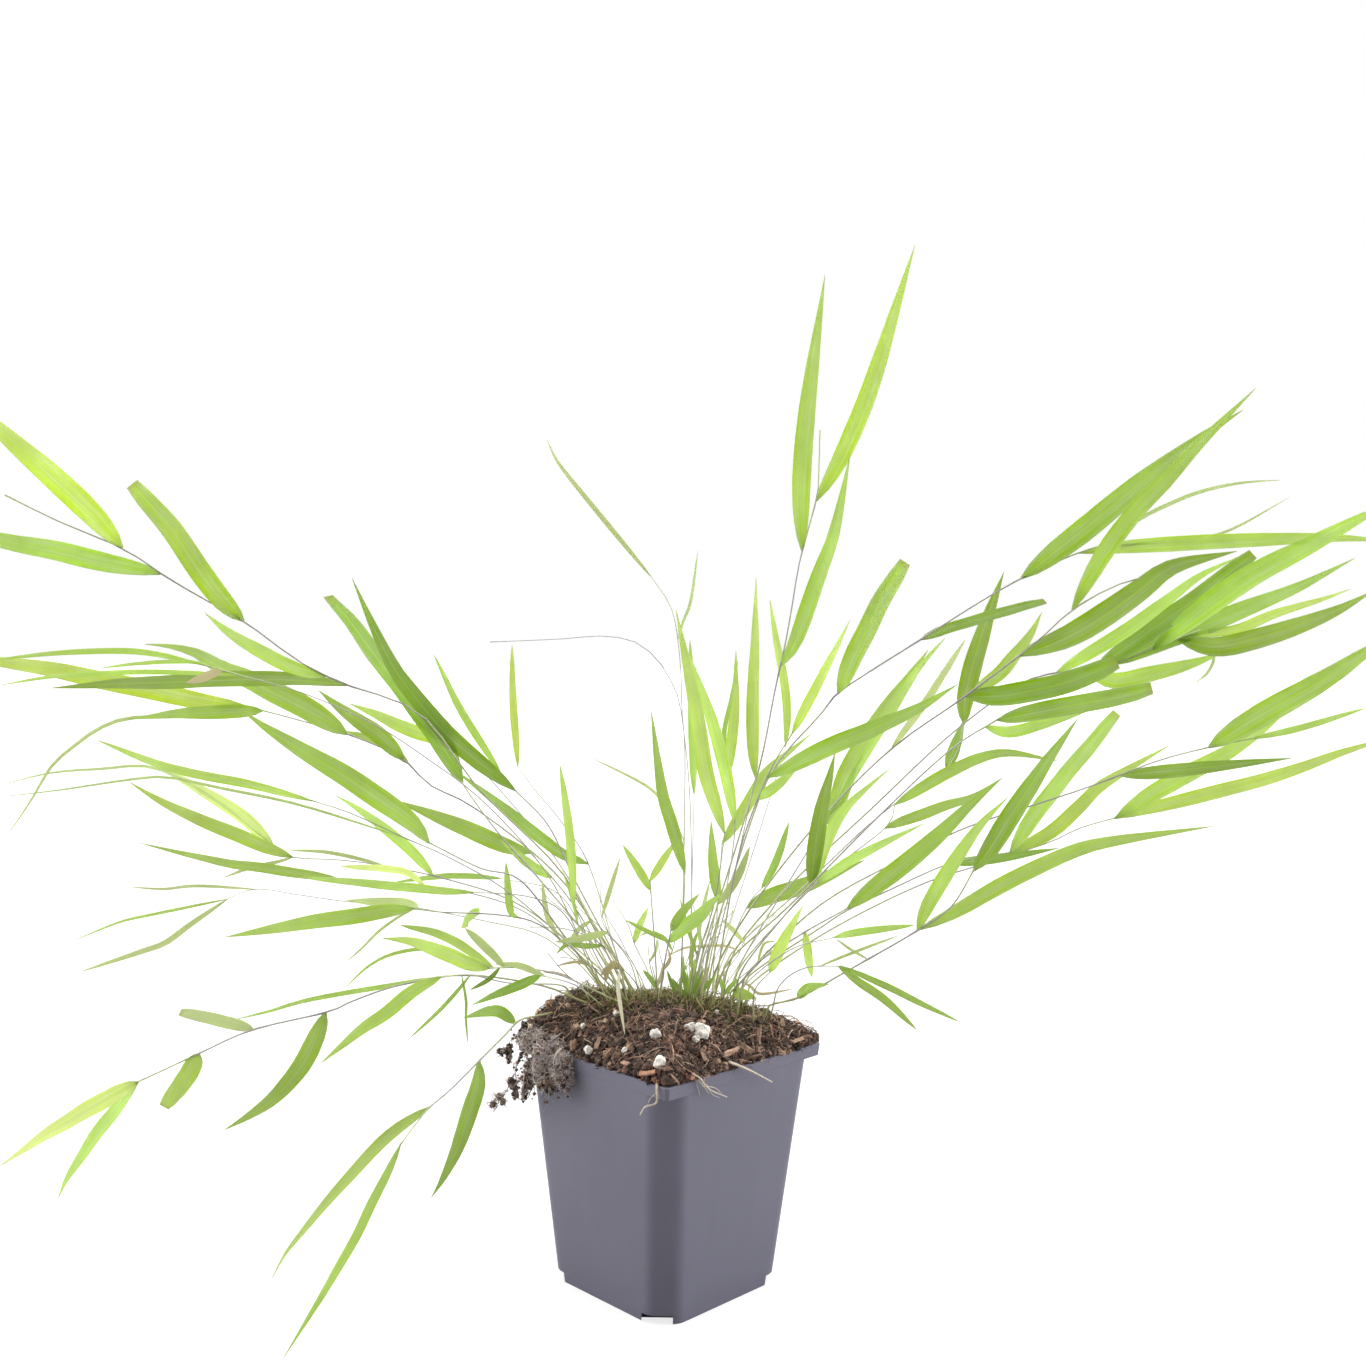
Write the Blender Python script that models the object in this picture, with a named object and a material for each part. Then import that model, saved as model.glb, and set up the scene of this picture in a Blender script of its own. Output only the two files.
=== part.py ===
# Potted Japanese forest grass: a small tuft of Hakonechloa macra in a square nursery pot.
# Metres, +Z up. The origin is the middle of the pot's underside, and a pot corner faces -Y.
import math
import random

import bpy
import bmesh
from mathutils import Matrix, Vector, noise

# Pot
POT_WIDTH = 0.090
POT_HEIGHT = 0.100
BASE_WIDTH = 0.071
WALL = 0.0010
RIM_HEIGHT = 0.0050
RIM_STEP = 0.00015
RIM_CORNER = 0.0012
CORNER_CUT_TOP = 0.0091
CORNER_CUT_BASE = 0.0084
FLOOR_THICKNESS = 0.0012
STEP_DEPTH = 0.006
DRAIN_RADIUS = 0.0032
DRAIN_SPACING = 0.034
GAP = 0.0003
# The foot's steps at the right corner, the back, the left and the front: from, to and height
STEPS = ((-0.0088, 0.0088, 0.0042), (-0.0088, 0.0088, 0.0042), (-0.0088, 0.0088, 0.0042),
         (-0.0088, 0.0036, 0.0036))

# Soil
SOIL_CELLS = 9
SOIL_CREST = 0.0165
SOIL_EDGE = 0.0020
SOIL_SIDE = 0.0445
SOIL_FLATNESS = 3
SOIL_BACK_FALL = 0.7
SOIL_BACK_FROM = -0.015
SOIL_RIGHT_FALL = 0.3
SOIL_LUMP = 0.0016
LUMPS_PER_METRE = 160
HEAP_HEIGHT = 0.0065
HEAP_SPREAD = 0.014
HEAP_FLATNESS = 8
HEAP_PLACE = (-0.042, 0.002)

# Grass
CULM_RADIUS = 0.00060
CULM_TIP_RADIUS = 0.00038
CULM_DEPTH = 0.008
SOCKET_RISE = 0.006
# Feet in front of this are gathered in, and a foot is shifted towards the line of its culm
FOOT_FRONT = -0.008
FOOT_GATHER = 0.3
FOOT_SHIFT = 0.006
FOOT_LINE = 992
SEGMENT_LENGTH = 0.045
LEAF_SETBACK = 0.0025
BLADE_RIDGE = 0.26
LEAST_RIDGE = 0.0004
BLADE_BASE = 0.00034
MOST_WIDENING = 1 / 0.7
BLADE_LIFT = 0.45
BLADE_ROLL = math.radians(26)
TAPER = ((0.0, 0.0), (0.16, 0.80), (0.42, 1.0), (0.72, 0.66), (1.0, 0.05))
THIN_TAPER = ((0.0, 0.0), (0.25, 0.95), (0.62, 0.80), (1.0, 0.05))
THIN_WIDTH = 12
CUT_TAPER = ((0.0, 0.0), (0.16, 0.80), (0.42, 1.0), (0.72, 0.86), (1.0, 0.40))

# The plant was measured in a picture: its width in points, and where the eye stood
PICTURE = 1366
EYE_DISTANCE = 0.620
EYE_HEIGHT = 0.2814
EYE_SIDE = 0.0036
EYE_PITCH = math.radians(2.96)
EYE_ROLL = math.radians(0.91)
EYE_FOCUS = 1506


def blade(width, lean, *run, cut=False):
    # One leaf: its width in picture points, how far its tip leans back in mm, and its run
    return {"width": width, "lean": lean, "run": run, "cut": cut}


# Each shoot: where it leaves the soil in mm, how far back its tip reaches in mm, its culm
# through points of the picture, and its leaves
SHOOTS = {
    "shoot_left_01": {
        "root": (-12, 2), "reach": -40,
        "culm": [(600, 940), (560, 870), (480, 790), (420, 714), (345, 684), (300, 662), (242, 620),
                 (200, 597), (160, 573), (122, 548), (60, 522), (5, 495)],
        "leaves": [
            blade(24, -25, (122, 548), (92, 514), (55, 479), (12, 441), (-50, 385)),
            blade(20, 20, (160, 573), (100, 562), (50, 550), (0, 540), (-80, 520)),
            blade(22, -15, (243, 620), (222, 600), (199, 570), (172, 530), (146, 500),
                  (132, 484), cut=True),
            blade(16, 30, (345, 684), (310, 681), (270, 679), (220, 680), (170, 682), (110, 684),
                  (50, 688)),
            blade(14, -20, (322, 683), (300, 671), (275, 660), (250, 646), (228, 632),
                  (205, 613)),
        ],
    },
    "shoot_left_02": {
        "root": (-18, 8), "reach": 32,
        "culm": [(612, 950), (575, 880), (548, 825), (515, 790), (500, 772)],
        "leaves": [
            blade(18, -15, (515, 790), (480, 763), (446, 733), (416, 698), (394, 668), (374, 628),
                  (352, 578)),
            blade(8, 15, (500, 772), (476, 735), (458, 705), (446, 680), (434, 655)),
        ],
    },
    "shoot_left_03": {
        "root": (-24, -2), "reach": 20,
        "culm": [(590, 940), (540, 880), (500, 835), (470, 795), (462, 782)],
        "leaves": [
            blade(20, 20, (462, 782), (446, 752), (428, 724), (408, 697), (388, 672), (366, 643),
                  (347, 617), (328, 596), cut=True),
        ],
    },
    "shoot_left_04": {
        "root": (-16, 14), "reach": 90,
        "culm": [(615, 950), (588, 863), (560, 820), (535, 790), (517, 765)],
        "leaves": [
            blade(12, -15, (588, 863), (560, 853), (530, 830), (500, 805), (455, 770)),
            blade(8, 10, (517, 765), (513, 700), (512, 645)),
        ],
    },
    "shoot_left_05": {
        "root": (-10, -14), "reach": -20,
        "culm": [(598, 960), (574, 905)],
        "leaves": [
            blade(9, -10, (574, 905), (570, 840), (565, 800), (560, 765)),
        ],
    },
    "shoot_left_06": {
        "root": (-28, -8), "reach": -70,
        "culm": [(575, 950), (510, 893), (450, 858), (405, 838), (350, 813), (310, 800)],
        "leaves": [
            blade(9, -15, (310, 800), (250, 785), (170, 768), (97, 740)),
        ],
    },
    "shoot_left_07": {
        "root": (-22, 16), "reach": 80,
        "culm": [(590, 960), (520, 905), (450, 880), (385, 866), (340, 860), (292, 857), (272, 845)],
        "leaves": [
            blade(13, 20, (272, 845), (240, 815), (200, 790), (150, 760)),
            blade(14, -15, (292, 857), (265, 847), (240, 836), (205, 822), (170, 806),
                  (145, 792), (128, 781)),
            blade(11, -20, (433, 876), (410, 850), (380, 825), (355, 807), (335, 795)),
        ],
    },
    "shoot_left_08": {
        "root": (-26, 13), "reach": 30,
        "culm": [(585, 965), (530, 915), (470, 893), (400, 883), (340, 880)],
        "leaves": [
            blade(10, -15, (340, 880), (260, 868), (220, 862), (140, 843)),
            blade(7, 12, (425, 886), (400, 871), (340, 866)),
        ],
    },
    "shoot_left_09": {
        "root": (-32, 0), "reach": -55,
        "culm": [(560, 930), (520, 880), (480, 868), (428, 842)],
        "leaves": [
            blade(22, -20, (428, 843), (415, 826), (395, 810), (370, 793), (340, 773),
                  (300, 749), (265, 727), (242, 710)),
        ],
    },
    "shoot_left_10": {
        "root": (-20, 21), "reach": 40,
        "culm": [(600, 950), (570, 900), (530, 852)],
        "leaves": [
            blade(17, 15, (530, 852), (510, 848), (480, 835), (450, 822), (395, 800)),
            blade(10, -12, (550, 878), (530, 865), (500, 840)),
        ],
    },
    "shoot_left_11": {
        "root": (-15, 10), "reach": 50,
        "culm": [(610, 950), (570, 890), (530, 850), (470, 805), (430, 785), (400, 757), (350, 735),
                 (320, 726), (280, 715), (245, 706)],
        "leaves": [
            blade(19, 12, (249, 709), (200, 701), (150, 690), (100, 680), (50, 669), (0, 662),
                  (-80, 650)),
            blade(22, -20, (347, 734), (320, 717), (285, 698), (250, 681), (220, 667),
                  (195, 653), (170, 646), (145, 644)),
            blade(14, -17, (264, 711), (228, 712), (195, 713), (165, 715), (128, 719)),
            blade(9, 12, (413, 760), (385, 744), (345, 731)),
            blade(17, -12, (405, 758), (380, 736), (360, 722), (340, 708), (318, 690)),
        ],
    },
    "shoot_left_12": {
        "root": (-8, 18), "reach": 100,
        "culm": [(605, 945), (560, 865), (500, 790), (450, 740)],
        "leaves": [
            blade(14, 10, (450, 743), (425, 735), (400, 726), (375, 714), (348, 703)),
        ],
    },
    "shoot_left_13": {
        "root": (-31, 10), "reach": -90,
        "culm": [(583, 945), (546, 872), (485, 803), (425, 757), (370, 722), (300, 692), (240, 675),
                 (200, 664)],
        "leaves": [
            blade(6, -15, (200, 664), (160, 655), (120, 651), (60, 653), (-10, 660)),
            blade(5, 10, (240, 675), (150, 672), (60, 676), (0, 685)),
        ],
    },
    "shoot_left_14": {
        "root": (-34, -12), "reach": -60,
        "culm": [(540, 985), (465, 975), (400, 985), (355, 1000), (327, 1012), (252, 1030),
                 (200, 1053), (170, 1067), (135, 1083)],
        "leaves": [
            blade(19, -25, (327, 1012), (317, 1035), (302, 1065), (277, 1095), (250, 1115),
                  (224, 1130)),
            blade(12, 15, (252, 1030), (225, 1022), (200, 1016), (180, 1012), cut=True),
            blade(19, -12, (200, 1053), (188, 1075), (175, 1093), (164, 1107), cut=True),
            blade(17, -15, (135, 1083), (100, 1103), (60, 1126), (30, 1145), (0, 1166)),
            blade(13, 20, (137, 1082), (120, 1105), (100, 1130), (80, 1158), (66, 1180),
                  (58, 1198)),
            blade(5, 25, (440, 976), (420, 980), (400, 984), (370, 989), (340, 994), (300, 1002),
                  (270, 1011), (233, 1020)),
        ],
    },
    "shoot_left_15": {
        "root": (-24, -15), "reach": -51,
        "culm": [(560, 975), (520, 968), (488, 968)],
        "leaves": [
            blade(15, -20, (490, 968), (470, 964), (450, 956), (430, 948), (408, 941),
                  (382, 938)),
            blade(9, 15, (494, 967), (460, 945), (435, 933), (400, 925)),
            blade(9, 25, (505, 967), (480, 942), (465, 928)),
        ],
    },
    "shoot_left_16": {
        "root": (-38, -5), "reach": -71,
        "culm": [(560, 985), (510, 983), (470, 975), (440, 977)],
        "leaves": [
            blade(14, -20, (440, 977), (412, 992), (388, 1012), (365, 1027), (345, 1043),
                  (320, 1064)),
        ],
    },
    "shoot_left_17": {
        "root": (-20, -23), "reach": -54,
        "culm": [(575, 985), (540, 975)],
        "leaves": [
            blade(10, -15, (541, 975), (520, 985), (495, 995), (472, 1005)),
            blade(7, 12, (545, 977), (520, 966), (495, 964)),
        ],
    },
    "shoot_left_18": {
        "root": (-22, -7), "reach": -35,
        "culm": [(585, 960), (540, 925), (500, 915), (440, 912), (412, 908)],
        "leaves": [
            blade(16, -15, (412, 908), (390, 911), (350, 917), (300, 924), (255, 932),
                  (225, 937)),
            blade(12, 25, (418, 909), (400, 904), (345, 900)),
            blade(8, -12, (516, 932), (511, 912), (508, 890), (506, 862)),
            blade(6, 15, (557, 939), (547, 915), (542, 880)),
        ],
    },
    "shoot_left_19": {
        "root": (-18, -18), "reach": -35,
        "culm": [(590, 965), (565, 915), (530, 897), (472, 892)],
        "leaves": [
            blade(9, -10, (472, 892), (440, 891), (400, 887), (300, 877)),
        ],
    },
    "shoot_left_20": {
        "root": (-12, 24), "reach": 70,
        "culm": [(595, 960), (560, 895), (500, 878)],
        "leaves": [
            blade(6, 12, (500, 878), (450, 876), (395, 882)),
        ],
    },
    "shoot_left_21": {
        "root": (-31, 20), "reach": 110,
        "culm": [(580, 965), (540, 935), (490, 922), (400, 905), (350, 902), (300, 895), (255, 889),
                 (225, 900)],
        "leaves": [
            blade(6, 12, (225, 900), (190, 925), (165, 943), (140, 952), (80, 972)),
        ],
    },
    "shoot_left_22": {
        "root": (-47, -6), "reach": -75,
        "culm": [(520, 1020), (505, 1035), (480, 1060), (450, 1090), (430, 1107), (415, 1125), (400, 1145)],
        "leaves": [
            blade(17, -15, (481, 1062), (478, 1085), (470, 1110), (462, 1135), (453, 1158),
                  (441, 1182), (431, 1198)),
            blade(12, -15, (430, 1107), (400, 1127), (373, 1151), (345, 1182), (320, 1210),
                  (300, 1235), (285, 1254), (272, 1278)),
            blade(10, -45, (400, 1145), (387, 1174), (371, 1205), (357, 1235), (338, 1268),
                  (320, 1299), (281, 1362)),
            blade(12, 10, (516, 1024), (500, 1012), (485, 1012), (463, 1018)),
        ],
    },
    "shoot_mid_01": {
        "root": (6, 10), "reach": 60,
        "culm": [(683, 900), (685, 760), (682, 710), (680, 660), (672, 610), (650, 575)],
        "leaves": [
            blade(5, 20, (650, 575), (600, 515), (560, 465), (547, 440)),
        ],
    },
    "shoot_mid_02": {
        "root": (9, -5), "reach": -45,
        "culm": [(692, 940), (690, 800), (681, 710), (675, 690), (665, 670), (650, 652), (630, 640),
                 (600, 636), (560, 639), (490, 642)],
        "leaves": [],
    },
    "shoot_mid_03": {
        "root": (14, -7), "reach": -30,
        "culm": [(700, 950), (715, 900), (725, 832)],
        "leaves": [
            blade(16, -15, (725, 832), (715, 805), (705, 770), (697, 720), (690, 680),
                  (676, 610)),
        ],
    },
    "shoot_mid_04": {
        "root": (18, 9), "reach": 30,
        "culm": [(712, 950), (728, 880), (735, 820), (727, 778), (722, 760)],
        "leaves": [
            blade(13, -20, (735, 822), (729, 790), (721, 755), (712, 722), (700, 687),
                  (682, 640)),
            blade(11, 20, (727, 778), (731, 745), (735, 705), (736, 650)),
        ],
    },
    "shoot_mid_05": {
        "root": (10, 23), "reach": 80,
        "culm": [(690, 950), (692, 880), (694, 793)],
        "leaves": [
            blade(9, 12, (694, 793), (693, 740), (690, 640)),
        ],
    },
    "shoot_mid_06": {
        "root": (4, -14), "reach": -50,
        "culm": [(682, 950), (685, 872)],
        "leaves": [
            blade(13, -15, (685, 872), (672, 825), (662, 790), (651, 710)),
        ],
    },
    "shoot_mid_07": {
        "root": (21, 3), "reach": 6,
        "culm": [(715, 950), (735, 870), (756, 775)],
        "leaves": [
            blade(13, 12, (756, 778), (753, 745), (753, 700), (755, 640), (756, 578)),
        ],
    },
    "shoot_mid_08": {
        "root": (23, 15), "reach": 90,
        "culm": [(722, 950), (760, 830), (786, 745)],
        "leaves": [
            blade(9, 10, (786, 745), (787, 715), (784, 680), (777, 645), (770, 600)),
        ],
    },
    "shoot_mid_09": {
        "root": (-5, -9), "reach": -35,
        "culm": [(655, 950), (650, 880)],
        "leaves": [
            blade(8, -10, (650, 880), (662, 862), (675, 842)),
            blade(9, 12, (651, 890), (640, 872), (623, 845)),
        ],
    },
    "shoot_mid_10": {
        "root": (-14, -26), "reach": -45,
        "culm": [(618, 960), (602, 915)],
        "leaves": [
            blade(5, -8, (602, 915), (610, 890), (620, 858)),
            blade(8, 12, (608, 932), (583, 938), (555, 942)),
        ],
    },
    "shoot_mid_11": {
        "root": (1, -20), "reach": -45,
        "culm": [(665, 960), (672, 925)],
        "leaves": [
            blade(10, -10, (668, 930), (682, 913), (700, 893)),
            blade(14, -16, (665, 940), (680, 931), (697, 919), (712, 903), (722, 893)),
            blade(5, 14, (668, 942), (645, 930), (625, 920)),
        ],
    },
    "shoot_mid_12": {
        "root": (16, -18), "reach": -12,
        "culm": [(708, 950), (718, 900)],
        "leaves": [
            blade(11, -8, (718, 900), (713, 860), (711, 820)),
            blade(9, 14, (720, 905), (728, 892), (740, 872), (750, 846)),
        ],
    },
    "shoot_tall": {
        "root": (14, 2), "reach": 15,
        "culm": [(705, 945), (735, 850), (760, 765), (775, 690), (786, 640), (793, 600), (800, 560),
                 (815, 505), (818, 490), (820, 430)],
        "leaves": [
            blade(19, -15, (802, 550), (801, 510), (802, 470), (806, 420), (812, 370), (825, 275)),
            blade(18, 25, (816, 500), (840, 460), (862, 410), (878, 365), (892, 320), (915, 245)),
            blade(16, -25, (782, 668), (796, 640), (821, 570), (835, 530), (850, 455)),
        ],
    },
    "shoot_right_01": {
        "root": (18, -11), "reach": 30,
        "culm": [(712, 940), (735, 870), (770, 775), (820, 715), (838, 693), (880, 665), (920, 640),
                 (975, 605), (1022, 578), (1080, 552), (1110, 545)],
        "leaves": [
            blade(19, -15, (838, 693), (850, 665), (864, 636), (882, 600), (905, 562), cut=True),
            blade(10, 20, (920, 640), (950, 628), (1010, 610), (1045, 601), cut=True),
            blade(24, -20, (1022, 578), (1050, 556), (1085, 529), (1120, 500), (1150, 476),
                  (1185, 450), (1215, 428), (1243, 410)),
            blade(15, 25, (1080, 552), (1130, 547), (1200, 543), (1280, 539), (1340, 538),
                  (1400, 541)),
            blade(4, -12, (1110, 545), (1135, 522), (1165, 506), (1200, 492), (1240, 483),
                  (1280, 480)),
        ],
    },
    "shoot_right_02": {
        "root": (12, 18), "reach": 45,
        "culm": [(715, 945), (722, 843)],
        "leaves": [
            blade(12, 15, (722, 843), (738, 820), (753, 795), (765, 774), (783, 757),
                  (812, 733)),
        ],
    },
    "shoot_right_03": {
        "root": (24, -15), "reach": -60,
        "culm": [(722, 945), (740, 850), (768, 775), (793, 732)],
        "leaves": [
            blade(18, -20, (768, 778), (785, 769), (803, 760), (840, 743), (875, 728),
                  (915, 710), (958, 684)),
            blade(11, 15, (760, 800), (775, 787), (800, 765)),
            blade(10, -12, (793, 732), (820, 680), (850, 620)),
        ],
    },
    "shoot_right_04": {
        "root": (20, 7), "reach": -41,
        "culm": [(725, 950), (760, 895), (820, 820), (890, 750), (960, 700), (1020, 655), (1050, 630),
                 (1072, 610), (1110, 588), (1140, 578)],
        "leaves": [
            blade(18, -20, (1072, 610), (1090, 577), (1108, 547), (1135, 512), (1168, 478),
                  (1200, 443), (1256, 388)),
            blade(24, 15, (1020, 655), (1060, 641), (1100, 619), (1140, 590), (1175, 566),
                  (1237, 551)),
            blade(8, -15, (890, 750), (905, 730), (925, 703), (948, 667), (965, 640)),
            blade(14, 15, (975, 689), (997, 676), (1015, 655), (1030, 635), (1042, 612)),
            blade(22, -10, (966, 698), (1000, 696), (1050, 687), (1085, 676), (1117, 662),
                  cut=True),
        ],
    },
    "shoot_right_05": {
        "root": (27, 12), "reach": 55,
        "culm": [(735, 950), (790, 885), (870, 810), (950, 735), (1018, 685), (1060, 672), (1110, 665),
                 (1150, 650), (1200, 630)],
        "leaves": [
            blade(14, -25, (1058, 672), (1090, 653), (1130, 628), (1165, 602), (1200, 576),
                  (1240, 556)),
            blade(18, 15, (1095, 667), (1130, 645), (1165, 620), (1200, 596), (1230, 572),
                  (1253, 554), cut=True),
            blade(23, -20, (1152, 649), (1200, 612), (1255, 574), (1310, 545), (1366, 515),
                  (1400, 498)),
            blade(20, 25, (1110, 665), (1160, 642), (1205, 625), (1250, 607), (1300, 586),
                  (1355, 558)),
            blade(21, -15, (1180, 648), (1215, 647), (1255, 639), (1300, 625), (1340, 609),
                  (1375, 590)),
            blade(17, 15, (1085, 672), (1115, 681), (1150, 674), (1190, 664), (1225, 652)),
        ],
    },
    "shoot_right_06": {
        "root": (22, -22), "reach": -95,
        "culm": [(730, 960), (790, 905), (880, 815), (950, 750), (1000, 718)],
        "leaves": [
            blade(18, -15, (1000, 718), (1040, 712), (1080, 704), (1120, 697), (1152, 688),
                  cut=True),
            blade(12, 15, (985, 728), (1010, 732), (1045, 723), (1100, 706)),
        ],
    },
    "shoot_right_07": {
        "root": (29, 20), "reach": 90,
        "culm": [(730, 955), (800, 890), (880, 815), (947, 768), (965, 722)],
        "leaves": [
            blade(19, -12, (965, 722), (965, 700), (972, 668), (982, 635), (992, 605),
                  (1004, 572)),
            blade(12, 20, (947, 768), (956, 744), (965, 718)),
        ],
    },
    "shoot_right_08": {
        "root": (20, 26), "reach": 59,
        "culm": [(745, 955), (790, 880), (830, 815)],
        "leaves": [
            blade(19, 12, (829, 830), (836, 806), (845, 780), (856, 757), (869, 735), (892, 700),
                  (928, 650)),
        ],
    },
    "shoot_right_09": {
        "root": (31, -3), "reach": -22,
        "culm": [(745, 965), (785, 915), (812, 885)],
        "leaves": [
            blade(17, -10, (813, 888), (815, 850), (820, 818), (824, 798), (830, 775),
                  (835, 752)),
        ],
    },
    "shoot_right_10": {
        "root": (31, 7), "reach": 28,
        "culm": [(745, 960), (820, 880), (885, 828), (895, 803)],
        "leaves": [
            blade(12, -15, (892, 803), (922, 788), (950, 772), (980, 758), (1010, 753),
                  (1058, 761)),
            blade(11, 15, (885, 828), (910, 819), (945, 806), (975, 796), (1002, 778)),
            blade(10, -15, (815, 880), (850, 861), (880, 845), (925, 823)),
        ],
    },
    "shoot_right_11": {
        "root": (33, -13), "reach": -52,
        "culm": [(750, 970), (800, 935), (848, 908)],
        "leaves": [
            blade(19, -20, (848, 908), (880, 883), (912, 858), (942, 832), (970, 805),
                  (1003, 777)),
            blade(9, 10, (805, 932), (808, 955), (812, 977)),
        ],
    },
    "shoot_right_12": {
        "root": (14, 28), "reach": 66,
        "culm": [(725, 955), (748, 905), (762, 888)],
        "leaves": [
            blade(17, 10, (748, 908), (772, 896), (800, 887), (830, 875), (865, 860)),
            blade(8, 12, (762, 888), (773, 868), (781, 848), (789, 822)),
        ],
    },
    "shoot_right_13": {
        "root": (38, -9), "reach": -60,
        "culm": [(770, 1005), (800, 997), (840, 975), (870, 958), (910, 935), (950, 908), (975, 868)],
        "leaves": [
            blade(15, -15, (916, 930), (928, 905), (943, 880), (962, 850), (983, 822),
                  (1008, 797)),
            blade(16, 20, (918, 930), (955, 912), (1000, 886), (1040, 866), (1080, 849),
                  (1120, 840), (1215, 826)),
            blade(20, -15, (976, 872), (992, 846), (1008, 820), (1028, 790), (1048, 760),
                  (1078, 718)),
            blade(10, -10, (797, 996), (807, 989), (817, 986), (829, 984)),
        ],
    },
    "shoot_right_14": {
        "root": (35, 4), "reach": 20,
        "culm": [(750, 975), (820, 928), (848, 910), (900, 885), (940, 867), (965, 860), (1012, 852)],
        "leaves": [
            blade(16, -15, (1012, 852), (1035, 815), (1060, 782), (1085, 752), (1117, 713),
                  cut=True),
            blade(10, 15, (950, 864), (1000, 858), (1060, 848)),
            blade(14, 15, (1010, 855), (1050, 833), (1080, 806), (1105, 783), (1170, 745)),
        ],
    },
    "shoot_right_15": {
        "root": (29, 16), "reach": -30,
        "culm": [(750, 970), (820, 905), (900, 860), (965, 828), (1040, 803), (1080, 790), (1115, 777),
                 (1160, 760), (1210, 747), (1255, 738)],
        "leaves": [
            blade(24, -20, (1210, 747), (1232, 733), (1257, 718), (1280, 705), (1305, 691),
                  (1335, 673), (1366, 652), (1400, 630)),
            blade(14, 20, (1118, 776), (1160, 772), (1200, 768), (1293, 758)),
            blade(7, 12, (1255, 738), (1300, 728), (1366, 708)),
        ],
    },
    "shoot_right_16": {
        "root": (37, 13), "reach": 75,
        "culm": [(755, 980), (830, 930), (920, 885), (990, 862), (1050, 842), (1080, 828), (1118, 817)],
        "leaves": [
            blade(18, -10, (1118, 817), (1135, 805), (1155, 792), (1180, 778), (1210, 762),
                  (1235, 748), (1265, 727), (1300, 696)),
            blade(14, 20, (1114, 818), (1145, 810), (1170, 804), (1220, 791), (1260, 781),
                  (1300, 768), (1340, 753), (1366, 745), (1400, 734)),
        ],
    },
    "shoot_right_17": {
        "root": (27, -28), "reach": -80,
        "culm": [(745, 985), (790, 950), (835, 937)],
        "leaves": [
            blade(8, -12, (835, 937), (860, 932), (915, 925)),
        ],
    },
    "shoot_right_18": {
        "root": (32, -20), "reach": -43,
        "culm": [(755, 990), (770, 972)],
        "leaves": [
            blade(12, -8, (768, 970), (777, 955), (787, 935), (795, 920), (803, 905)),
        ],
    },
    "shoot_right_19": {
        "root": (41, -2), "reach": -61,
        "culm": [(780, 985), (805, 968), (842, 966)],
        "leaves": [
            blade(9, -15, (838, 966), (860, 983), (885, 1000), (917, 1030)),
            blade(7, 15, (842, 966), (890, 988), (920, 1003), (960, 1022)),
        ],
    },
}

# Pale roots that hang over the rim, through picture points and their depths in mm
RIM_ROOTS = {
    "rim_root_1": [(657, 1086, -61.5), (657, 1103, -61.5), (645, 1107, -61), (640, 1115, -60.5)],
    "rim_root_2": [(735, 1065, -39.5), (755, 1073, -33.5), (772, 1082, -26.5)],
    "rim_root_3": [(704, 1080, -53), (713, 1090, -50), (727, 1097, -44.5)],
}
RIM_ROOT_RADIUS = 0.00050

# The clump of soil and roots that spills over the rim: lumps and strands, in mm
CLUMP_LUMPS = (
    ((-54, -10, 102), (7, 6, 4)),
    ((-47, -18, 101), (7, 6, 4.5)),
    ((-50, -19.5, 95), (4, 3.4, 4)),
    ((-45, -24, 90.5), (4, 3.5, 4.6)),
    ((-52, -18, 88), (2.6, 2.4, 3.2)),
    ((-57, -13, 90.5), (2.4, 2.2, 3)),
    ((-61, -9, 100), (1.8, 1.6, 3.4)),
    ((-65, -7, 101), (1.6, 1.4, 1.7)),
    ((-63, -8, 83), (2, 1.8, 2.5)),
    ((-68, -7, 74), (1.7, 1.5, 3)),
    ((-56, -14, 96), (1.7, 1.6, 1.8)),
    ((-50, -21, 83.5), (1.6, 1.5, 2)),
)
CLUMP_STRANDS = (
    ((-46, -22, 99), (-45.5, -24, 93)),
    ((-51, -18, 97), (-52, -18.5, 89)),
    ((-54, -13, 100), (-57, -13, 91)),
    ((-56, -11, 101), (-61, -9, 99)),
    ((-60, -9, 101), (-65, -7, 101)),
    ((-61, -9, 98), (-63, -8, 84)),
    ((-57, -13, 90), (-62, -9, 84), (-68, -7, 75)),
    ((-47, -21, 97), (-50, -21, 91), (-50, -21, 84)),
)
CLUMP_STRAND_RADIUS = 0.0009
CLUMP_FINE = 7
CLUMP_ROUGHNESS = 0.22

COLOURS = {
    "pot_grey": ((0.185, 0.180, 0.225, 1.0), 0.55),
    "soil_brown": ((0.045, 0.026, 0.018, 1.0), 0.95),
    "clump_brown": ((0.060, 0.040, 0.030, 1.0), 0.95),
    "root_cream": ((0.600, 0.520, 0.380, 1.0), 0.70),
    "leaf_green": ((0.330, 0.560, 0.085, 1.0), 0.50),
}


def material(name):
    colour, roughness = COLOURS[name]
    made = bpy.data.materials.get(name) or bpy.data.materials.new(name)
    made.use_nodes = True
    shader = made.node_tree.nodes["Principled BSDF"]
    shader.inputs["Base Color"].default_value = colour
    shader.inputs["Roughness"].default_value = roughness
    shader.inputs["Metallic"].default_value = 0.0
    return made


def collection(name, parent=None):
    made = bpy.data.collections.new(name)
    (parent or bpy.context.scene.collection).children.link(made)
    return made


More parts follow.
